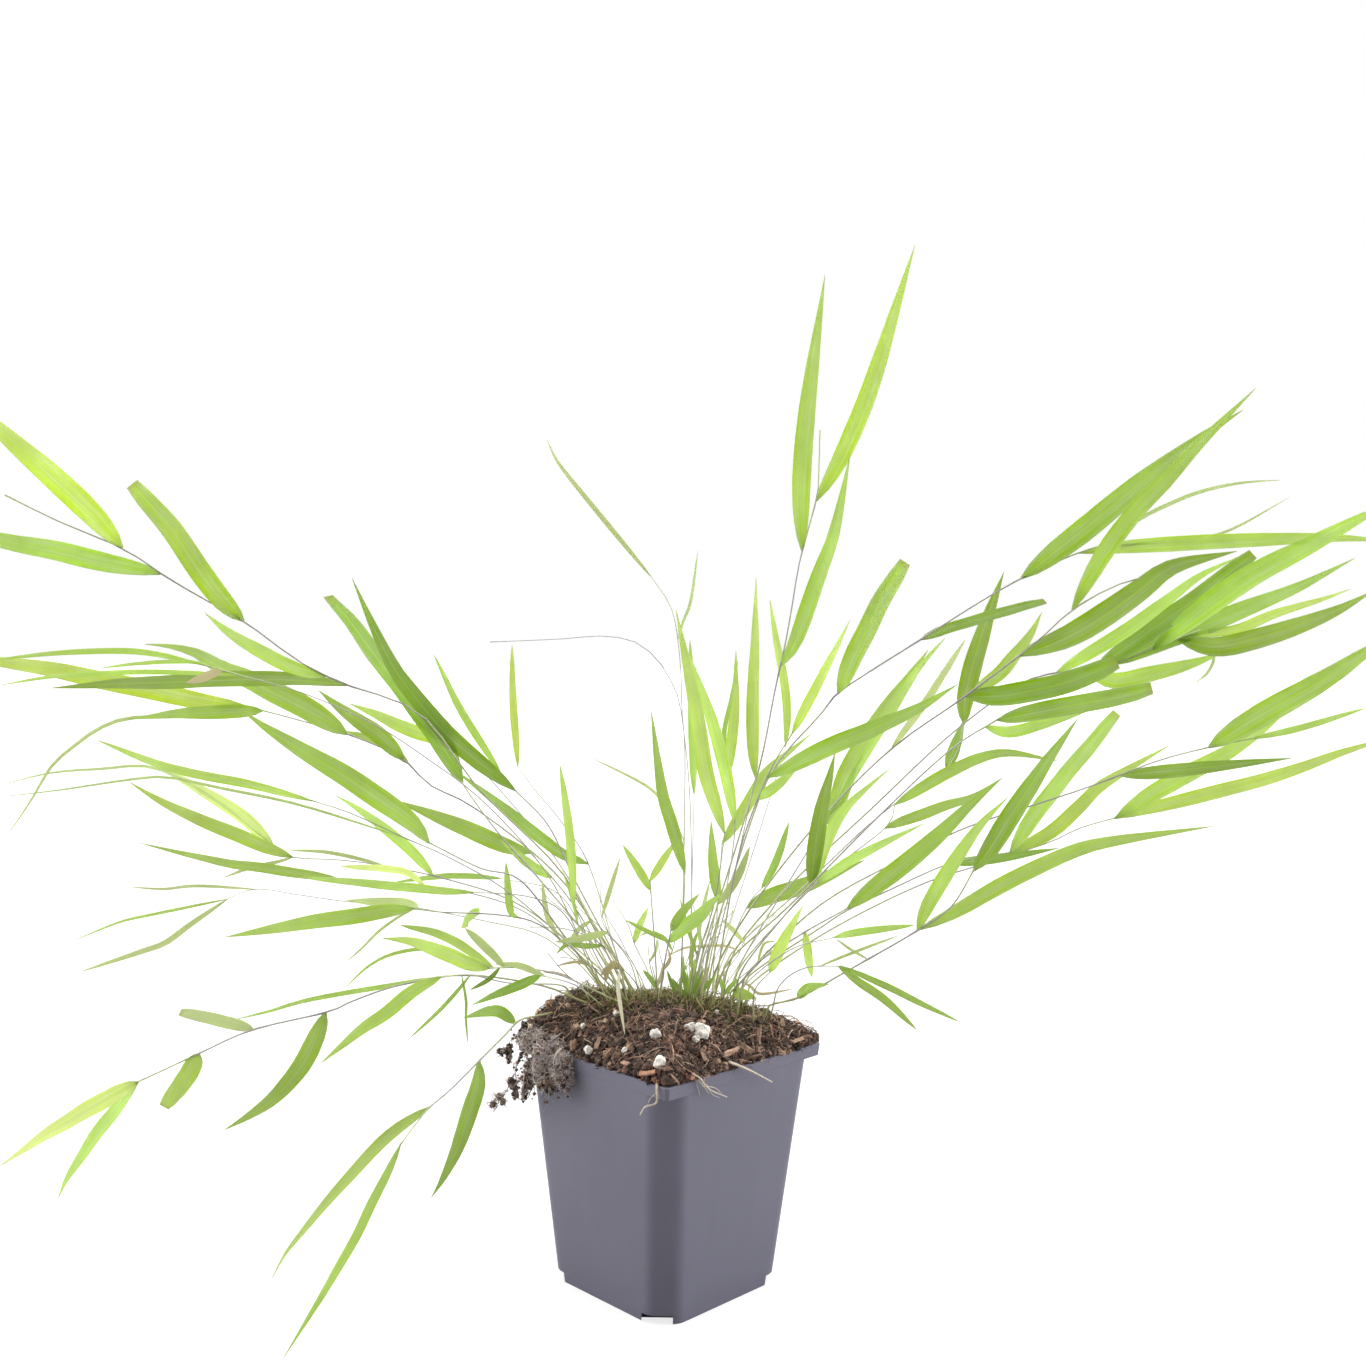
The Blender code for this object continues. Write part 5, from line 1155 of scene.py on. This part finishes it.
def bendBlade(pattern, line, half, facing, colour, chance):
    # A copy of the flat blade laid along its line, folded along its midrib and a little twisted
    leaf = linked(pattern.name, pattern.data.copy())
    twist = chance.uniform(-1, 1) * blades["twist"]
    fold = chance.uniform(*blades["foldRange"]) * blades["fold"]
    phase, waves = chance.uniform(0, math.tau), chance.uniform(*blades["waves"])
    rows = {}
    for v in leaf.data.vertices:
        t = round(unit(v.co.y), 3)
        if t not in rows:
            before, after = max(0, t - blades["near"]), min(1, t + blades["near"])
            along = (smooth(line, after) - smooth(line, before)).normalized()
            turn = Matrix.Rotation(twist * (t - blades["untwisted"]), 3, along)
            side = along.cross(turn @ facing).normalized()
            rows[t] = smooth(line, t), side, side.cross(along).normalized()
        here, side, up = rows[t]
        wide = abs(v.co.x)
        rise = half * (fold * (wide ** 1.5 - 0.3) * (1 - 0.6 * t)
                       + blades["ripple"] * wide * math.sin(waves * math.tau * t + phase))
        v.co = here + side * (v.co.x * half) + up * (rise + v.co.z * blades["thickness"])
    colours = [*colour, 1.0] * len(leaf.data.vertices)
    leaf.data.attributes["leafColour"].data.foreach_set("color", colours)
    return leaf


def culmPath(shoot):
    # The culm from its foot in the soil, near the line that its lower part points down, to its tip
    x, y = (value / 1000 for value in shoot["root"])
    y = max(y, culm["front"] + culm["gather"] * (y - culm["front"]))
    seen = [Vector(p) for p in shoot["culm"]]
    way = seen[0] - seen[1]
    if way.y > 4 and seen[0].y < culm["footLine"]:
        aimed = placed(*(seen[0] + way * (culm["footLine"] - seen[0].y) / way.y), y).x
        x = min(x + culm["footShift"], max(x - culm["footShift"], aimed))
    ground = Vector((x, y, soilHeight(x, y)))
    travelled = [(placed(*seen[0], y) - ground).length * eye["focus"] / eye["distance"]]
    for a, b in zip(seen, seen[1:]):
        travelled.append(travelled[-1] + (b - a).length)
    back = shoot["reach"] / 1000 - y
    points = [placed(*p, y + back * t / travelled[-1]) for p, t in zip(seen, travelled)]
    start = (points[0] - ground).normalized()
    return ground, start, [ground + start * culm["socketRise"]] + points


def tubes(name, lines):
    # Round stems through lines of (point, radius), as one mesh
    route = bpy.data.curves.new(name, "CURVE")
    route.dimensions = "3D"
    route.bevel_depth, route.bevel_resolution, route.use_fill_caps = 1.0, 1, True
    for line in lines:
        spline = route.splines.new("POLY")
        spline.points.add(len(line) - 1)
        for knot, (p, radius) in zip(spline.points, line):
            knot.co, knot.radius = (*p, 1.0), radius
    makeOnly(linked(name, route))
    bpy.ops.object.convert(target="MESH")
    made = inEdit(bpy.context.object, lambda: bpy.ops.mesh.remove_doubles(threshold=culm["weld"]))
    made.data.shade_smooth()
    return made


def makeLeafMaterial():
    skin = Skin("leafBlade", roughness=0.42)
    skin.set("Specular IOR Level", 0.35)
    across, place = skin.add("UVMap", uv_map="UVMap"), skin.place()
    spread = skin.add("Mapping", {"Vector": across, "Scale": (26.0, 1.6, 1.0)})
    veins = skin.noise(spread, scale=1.0, detail=3.0, roughness=0.6)
    colour, _height = skin.mottled(skin.own("leafColour", "Color"), size=55.0, amount=0.10)
    colour = skin.scaled(colour, skin.ranged(veins, (0.3, 0.7), (0.86, 1.12)))
    # A lighter rib along the middle, a deeper green foot and a browner tip
    away = skin.math("ABSOLUTE", skin.math("SUBTRACT", skin.axis(across, "X"), 0.5))
    along = skin.axis(across, "Y")
    for part, start, end, tone in ((away, (0.02, 0.07), (0.35, 0.0), "rib"),
                                   (along, (0.0, 0.10), (0.55, 0.0), "foot"),
                                   (along, (0.94, 1.0), (0.0, 0.5), "tip")):
        colour = skin.mixed(skin.ranged(part, start, end), colour, (*blades[tone], 1))
    # Random streaks along each blade, greyer or more vivid: the grey-green streaks are painted sheen
    stretch = skin.add("Mapping", {"Vector": across, "Scale": (3.0, 2.2, 1.0)})
    drift = skin.add("VectorMath", {0: stretch, 1: place}, operation="ADD")
    paintedSheen = skin.noise(drift, scale=1.3, detail=3.0, roughness=0.6)
    vivid = skin.ranged(paintedSheen, (0.3, 0.7), (0.78, 1.22))
    toned = skin.add("HueSaturation", {"Saturation": vivid, "Color": colour})
    skin.set("Base Color", skin.scaled(toned, blades["surfaceShare"]))
    # Some of the light behind it comes through
    glow = skin.scaled(skin.add("Gamma", {"Color": toned, "Gamma": 0.5}), blades["glow"])
    behind = skin.add("BsdfTranslucent", {"Color": glow})
    both = skin.add("MixShader", {0: blades["through"], 1: skin.shader.outputs[0], 2: behind})
    skin.feed(skin.tree.nodes["Material Output"].inputs["Surface"], both)
    skin.bump(veins, strength=0.35, distance=0.00012)
    return skin.made


def makeCulmMaterial():
    # Green towards the tip, with purple-brown and straw-coloured stretches lower down
    skin = Skin("culmSkin", roughness=0.45)
    patches = skin.noise(skin.place(), scale=70.0, detail=3.0)
    level = skin.math("ADD", skin.own("climb"), skin.ranged(patches, end=(-0.22, 0.22)))
    skin.set("Base Color", skin.ramp(level, (0.0, 0.44, 0.44, 0.20), (0.2, 0.52, 0.55, 0.31),
                                     (0.4, 0.50, 0.50, 0.37), (0.6, 0.41, 0.36, 0.37),
                                     (0.85, 0.43, 0.42, 0.35), (1.0, 0.50, 0.60, 0.27)))
    skin.bump(patches, strength=0.2, distance=0.0001)
    return skin.made


def makeLeaf(leaf, base, patterns, chance, own):
    # A leaf from its base on the culm out along its run, turned mostly to the eye
    last = len(leaf["run"]) - 1
    line = [base] + [placed(u, v, base.y + leaf["lean"] / 1000 * (i + 1) / last)
                     for i, (u, v) in enumerate(leaf["run"][1:])]
    middle = line[len(line) // 2]
    along = (line[-1] - line[0]).normalized()
    toEye = (eyeAt - middle).normalized()
    roll = Matrix.Rotation(chance.uniform(-blades["roll"], blades["roll"]), 3, along)
    facing = roll @ (toEye + Vector((0, 0, blades["lift"]))).normalized()
    turned = along.cross(facing).normalized().dot(along.cross(toEye).normalized())
    half = leaf["width"] / 2 * (middle.y + eye["distance"]) / eye["focus"]
    half *= min(blades["mostWidening"], 1 / turned)
    kind = "cut" if leaf["cut"] else "slim" if leaf["width"] <= blades["slimWidth"] else "whole"
    shade = own.uniform(*blades["uneven"])
    colour = [part * shade * own.uniform(*blades["tint"]) for part in tones[leaf["tone"]]]
    return bendBlade(patterns[kind], line, half, facing, colour, own)


def makeShoot(name, shoot, patterns, leafSkin, culmSkin):
    ground, start, points = culmPath(shoot)
    steps, fine = culm["points"], culm["places"]
    path = [smooth(points, i / steps) for i in range(steps + 1)]
    bases = [smooth(points, i / fine) for i in range(fine)]
    knots, leaves, chance = {steps}, [], random.Random(name)
    for number, leaf in enumerate(shoot["leaves"]):
        base = min(bases, key=lambda p: (showing(p) - Vector(leaf["run"][0])).length)
        knots.add(min(range(len(path)), key=lambda i: (path[i] - base).length))
        made = makeLeaf(leaf, base, patterns, chance, random.Random(f"{name} {number}"))
        leaves.append(dressed(made, leafSkin))
    stout = culm["leanest"] + (1 - culm["leanest"]) * min(1, shoot["widest"] / culm["stoutWidth"])
    thick, thin = culm["radius"] * stout, culm["tipRadius"] * stout
    grown = [(p, (thick + (thin - thick) * i / steps) * (culm["knot"] if i in knots else 1))
             for i, p in enumerate(path)]
    foot = [(ground - start * culm["depth"], thick * culm["footSwell"]),
            (ground + start * culm["neckRise"], thick * culm["neckSwell"])]
    stem = tubes(name + "_stem", [foot + grown])
    span = sum((b - a).length for a, b in zip(path, path[1:]))
    shadedBy(stem, "climb", [min(1.0, (v.co - ground).length / span) for v in stem.data.vertices])
    return joined([dressed(stem, culmSkin)] + leaves, name + "_grass")


def makeGrass():
    patterns = {kind: makeBlade(kind + "Blade", blades[kind]) for kind in ("whole", "slim", "cut")}
    skins = makeLeafMaterial(), makeCulmMaterial()
    for name, shoot in shoots.items():
        settled(makeShoot(name, shoot, patterns, *skins), "leaf_green", name)
    small = [makeShoot(f"sprig_{i}", shoot, patterns, *skins) for i, shoot in enumerate(sprigs)]
    settled(joined(small, "sprigs"), "leaf_green")
    for pattern in patterns.values():
        bpy.data.objects.remove(pattern)
    print("grass is made:", len(shoots), "shoots")


# Root clump hanging over the left corner, and the pale roots over the rim

clump = {
    # Lumps and strands in mm: a lump is its middle and half sizes, a strand its bends
    "lumps": [((-54, -10, 102), (7, 6, 4)), ((-47, -18, 101), (7, 6, 4.5)), ((-50, -19.5, 95), (4, 3.4, 4)),
              ((-48.5, -20.5, 91), (4.8, 2.6, 5)), ((-42.3, -25.8, 95), (3.6, 1.6, 6))],
    "crumbs": [((-47.2, -25, 89), (2.6, 2.0, 4.8)), ((-56.5, -17, 87.5), (2.8, 1.9, 3.9)),
               ((-57, -13, 92.5), (1.1, 1.1, 1.3)), ((-65.8, -7, 95.5), (1.2, 1.1, 3.9)),
               ((-69.2, -6, 96), (1.4, 0.9, 0.8)), ((-64.5, -7.5, 83.5), (1.6, 1.4, 1.6)),
               ((-62.7, -8.5, 80), (1.0, 1.0, 3.0)), ((-58.8, -11, 80.5), (0.8, 0.8, 2.5)),
               ((-69.8, -7, 77.3), (0.8, 0.8, 1.1)), ((-68.2, -7, 75.2), (0.7, 0.7, 0.9)),
               ((-72.4, -7, 73.8), (0.9, 0.8, 0.8)), ((-51, -22, 88), (1.2, 1.2, 2.0)),
               ((-41.8, -28.5, 91.5), (1.1, 1.0, 2.5))],
    "strands": [[(-46, -22, 99), (-46.5, -24, 92)], [(-52, -17, 97), (-55, -15, 89)],
                [(-54, -13, 100), (-57, -13, 92)], [(-57, -11, 103), (-62, -8.5, 104), (-65.8, -7, 99)],
                [(-65.8, -7, 97), (-69.2, -6, 96)], [(-59, -10, 98), (-63, -8, 91), (-64.5, -7.5, 84)],
                [(-64, -8, 84), (-62.7, -8.5, 79)],
                [(-57, -13, 89), (-63, -8, 83), (-69.8, -7, 77), (-73.5, -7, 73)],
                [(-57, -14, 86), (-58.8, -11, 80)], [(-47, -21, 97), (-50, -21, 91), (-51, -22, 87)],
                [(-50, -20, 95), (-56, -15, 90), (-60, -10, 88)],
                [(-60, -10, 99), (-57, -14, 95), (-50, -20, 92)],
                [(-45, -25, 94), (-50, -21, 89), (-57, -14, 88)],
                [(-42, -27, 99), (-40, -28, 94), (-41.5, -28.5, 87), (-38, -29.5, 85)]],
    "core": 0.56, "shade": 0.44, "crumbShade": 0.10, "strandShade": 0.6,
    # How many, and sizes in metres as the least and the most
    "threads": 3400, "threadLength": (0.003, 0.009), "shorter": 0.6, "threadWidth": (0.00016, 0.00036),
    "threadOut": (0.62, 1.22), "threadShade": (0.80, 0.20), "threadTilt": 0.5,
    "strandTwins": 3, "strandSteps": 12, "wander": 0.0006, "strandRadius": (0.00014, 0.00032),
    "hairs": 220, "hairSteps": 5, "hairLength": (0.002, 0.009), "hairRadius": 0.00013, "hairOut": 0.9,
    "curl": 0.5, "hang": -0.3, "knotted": 0.45, "knotSize": (0.0006, 0.0018),
    "bits": 620, "bitOut": (0.7, 1.12), "bitSize": (0.0006, 0.0020),
    "clusterBits": 30, "clusterOut": (0.7, 1.05), "clusterSize": (0.0008, 0.0020),
}


def onLump(chance, lump, out=1.0):
    # A random place on a lump's surface and the way out of it there, in metres
    middle, half = (Vector(part) / 1000 for part in lump)
    way = randomWay(chance).normalized()
    spot = middle + Vector([w * h * out for w, h in zip(way, half)])
    return spot, Vector([w / h for w, h in zip(way, half)]).normalized()


def makeMatMaterial():
    # Grey-brown fine roots, tan where they lie outermost
    skin = Skin("fineRoots", roughness=0.85)
    colour = skin.ramp(skin.own("shade"), (0.0, 0.06, 0.043, 0.037), (0.45, 0.30, 0.24, 0.22),
                       (0.8, 0.67, 0.57, 0.545), (1.0, 0.90, 0.82, 0.79))
    skin.speckled(colour, size=1500.0, amount=0.3, strength=0.4, depth=0.0002)
    return skin.made


def clumpThreads(chance):
    # Fine roots that lie all over the lumps and here and there on the crumbs
    spots = []
    for number in range(clump["threads"]):
        lump = chance.choice(clump["lumps"] if number % 12 else clump["crumbs"])
        p, out = onLump(chance, lump, chance.uniform(*clump["threadOut"]))
        length = chance.uniform(*clump["threadLength"]) * (1 if number % 5 else clump["shorter"])
        width = chance.uniform(*clump["threadWidth"])
        shade = unit(chance.gauss(*clump["threadShade"]))
        kind, turn = chance.randrange(7), lyingTurn(chance, out, clump["threadTilt"])
        spots.append((kind, p, turn, [width, width, length], shade))
    return spots


def clumpLines(chance):
    # The strands between the crumbs and the loose hairs, and the knots where earth clings to them
    lines, knots, steps = [], [], clump["strandSteps"]
    for strand in clump["strands"]:
        points = [Vector(p) / 1000 for p in strand]
        for _ in range(clump["strandTwins"]):
            wander = [randomWay(chance, clump["wander"]) for _ in range(steps)]
            line = [smooth(points, 0)]
            line += [smooth(points, (i + 1) / steps) + step for i, step in enumerate(wander)]
            thick = chance.uniform(*clump["strandRadius"])
            lines.append([(p, thick * (1.1 - i / 16)) for i, p in enumerate(line)])
            knots += line[2::3]
    for _ in range(clump["hairs"]):
        p, way = onLump(chance, chance.choice(clump["lumps"] + clump["crumbs"][:3]), clump["hairOut"])
        drop, line = chance.uniform(*clump["hairLength"]), [p]
        for _ in range(clump["hairSteps"]):
            way = (way + randomWay(chance, clump["curl"]) + Vector((0, 0, clump["hang"]))).normalized()
            line.append(line[-1] + way * drop / clump["hairSteps"])
        lines.append([(p, clump["hairRadius"] * (1 - i / 7)) for i, p in enumerate(line)])
        if chance.random() < clump["knotted"]:
            knots.append(line[chance.choice((3, 4, 5))])
    return lines, knots


def clumpBits(chance, knots):
    # Crumbs of earth on the lumps, in the clusters and at the knots
    spots = []
    for _ in range(clump["bits"]):
        p, _out = onLump(chance, chance.choice(clump["lumps"]), chance.uniform(*clump["bitOut"]))
        spots.append(bit(chance, p, chance.uniform(*clump["bitSize"])))
    for lump in clump["crumbs"]:
        for _ in range(round(clump["clusterBits"] * max(1.0, lump[1][0]))):
            p, _out = onLump(chance, lump, chance.uniform(*clump["clusterOut"]))
            spots.append(bit(chance, p, chance.uniform(*clump["clusterSize"])))
    return spots + [bit(chance, p, chance.uniform(*clump["knotSize"])) for p in knots]


def makeClump(earth):
    chance, matSkin = random.Random("clump"), makeMatMaterial()
    cores = []
    for i, (middle, half) in enumerate(clump["lumps"] + clump["crumbs"]):
        size = [2 * h / 1000 * clump["core"] for h in half]
        shade = clump["shade" if i < len(clump["lumps"]) else "crumbShade"]
        cores.append((i, Vector(middle) / 1000, Matrix.Identity(3), size, shade))
    scattered("clumpCore", crumbPatterns(3, 60, fine=4, jitter=0.02), cores, matSkin, "clump_brown")
    threads = threadPatterns(7, 70, segments=6, sides=3)
    scattered("clumpThreads", threads, clumpThreads(chance), matSkin, "clump_brown")
    lines, knots = clumpLines(chance)
    bits = crumbPatterns(4, 80, fine=1, jitter=0.22)
    scattered("clumpBits", bits, clumpBits(chance, knots), earth, "clump_brown")
    hanging = shadedBy(tubes("clumpStrands", lines), "shade", clump["strandShade"])
    settled(dressed(hanging, matSkin), "clump_brown", "root_clump")
    print("root clump is made")


roots = {
    # Runs through picture points, each with its depth in mm, and the radius in mm
    "rim_root_1": (0.55, [(657, 1083, -60), (657, 1091, -61.5), (656, 1103, -61.5), (645, 1107, -61),
                          (640, 1115, -60.5)]),
    "rim_root_2": (0.62, [(729, 1062, -41), (740, 1066, -38), (755, 1073, -33.5), (772, 1082, -26.5)]),
    "rim_root_3": (0.42, [(692, 1074, -55), (700, 1078, -54), (704, 1084, -53), (712, 1091, -50),
                          (727, 1097, -44.5)]),
}
# Thin cream threads beside them, in the same way
creamThreads = [
    (0.22, [(680, 1056, -46), (688, 1060, -48), (692, 1068, -51), (696, 1082, -53.5), (700, 1095, -51.5)]),
    (0.20, [(698, 1080, -54), (705, 1088, -53), (709, 1094, -50)]),
    (0.20, [(702, 1086, -53.5), (715, 1088, -49), (722, 1094, -46)]),
    (0.18, [(706, 1084, -52.5), (712, 1094, -49.5), (720, 1098, -46.5)]),
    (0.16, [(655, 1094, -61.6), (650, 1099, -61.5), (647, 1106, -61)]),
    (0.18, [(597, 1044, -20), (604, 1050, -28), (612, 1058, -34)]),
    (0.15, [(640, 1030, -20), (652, 1038, -30), (668, 1040, -34), (676, 1050, -42)]),
]


def taper(radius, run, steps=16, loss=0.55):
    # A root's line, thinner towards its tip
    points = [placed(u, v, depth / 1000) for u, v, depth in run]
    return [(smooth(points, i / steps), radius / 1000 * (1 - loss * i / steps)) for i in range(steps + 1)]


def makeRoots():
    skin = Skin("creamRoot", roughness=0.7)
    skin.speckled((0.66, 0.57, 0.45, 1), size=700.0, amount=0.25, strength=0.3, depth=0.0002)
    for name, root in roots.items():
        settled(dressed(tubes(name + "_cream", [taper(*root)]), skin.made), "root_cream", name)
    threads = tubes("creamThreads", [taper(*thread) for thread in creamThreads])
    settled(dressed(threads, skin.made), "root_cream")
    print("pale roots are made")


# Floor, light and camera

studio = {
    "floor": 0.28, "floorGlow": 0.78, "floorBounce": 0.38, "floorSize": 12.0,
    "front": 0.0, "back": 1.57, "side": 3.7, "topStrength": 1.15, "topSpread": math.radians(80),
    "nearest": 0.02,
}


def makeFloor():
    bpy.ops.mesh.primitive_grid_add(x_subdivisions=2, y_subdivisions=2, size=studio["floorSize"])
    # White to the eye with a faint shadow, and throws back less light, so that the pot keeps its depth
    skin = Skin("paleFloor", roughness=0.9)
    bounce, tone = [(studio[key],) * 3 + (1,) for key in ("floorBounce", "floor")]
    seen = skin.add("LightPath", out="Is Camera Ray")
    skin.set("Base Color", skin.mixed(seen, bounce, tone))
    skin.set("Emission Strength", skin.math("MULTIPLY", seen, studio["floorGlow"]))
    dressed(named(bpy.context.object, "studioFloor"), skin.made)


def makeLight():
    # White all round to the eye, and for the plant a bright room that is dimmer on the eye's side
    world = bpy.data.worlds.new("studioWorld")
    bpy.context.scene.world = world
    world.use_nodes = True
    sky = Nodes(world.node_tree)
    sky.tree.nodes.clear()
    way = sky.add("TexCoord", out="Generated")
    level = sky.ranged(sky.axis(way, "Y"), (-0.62, -0.12), (studio["front"], studio["back"]),
                       interpolation_type="SMOOTHSTEP")
    sides = sky.ranged(sky.math("ABSOLUTE", sky.axis(way, "X")), (0.75, 0.95), (1.0, studio["side"]),
                       interpolation_type="SMOOTHSTEP")
    room, white = (sky.add("Background", {"Color": (1, 1, 1, 1), "Strength": strength})
                   for strength in (sky.math("MULTIPLY", level, sides), 1.0))
    both = sky.add("MixShader", {0: sky.add("LightPath", out="Is Camera Ray"), 1: room, 2: white})
    sky.node("OutputWorld", {"Surface": both})
    bpy.ops.object.light_add(type="SUN", location=(0, 0, 2))
    lamp = bpy.context.object
    lamp.name = "topLight"
    lamp.data.angle, lamp.data.energy = studio["topSpread"], studio["topStrength"]


def makeCamera():
    lens = bpy.data.cameras.new("eye")
    lens.sensor_width = eye["sensor"]
    lens.lens = eye["focus"] / eye["picture"] * eye["sensor"]
    lens.clip_start = studio["nearest"]
    camera = linked("eye", lens)
    camera.matrix_world = (Matrix.Translation(eyeAt) @ Matrix.Rotation(math.pi / 2 - eye["pitch"], 4, "X")
                           @ Matrix.Rotation(eye["roll"], 4, "Z"))
    bpy.context.scene.camera = camera


makePot()
makeGrass()
earth = makeSoil()
makeClump(earth)
makeRoots()
makeFloor()
makeLight()
makeCamera()
bpy.context.scene.view_settings.view_transform = "Standard"
print("floor, light and camera are set")
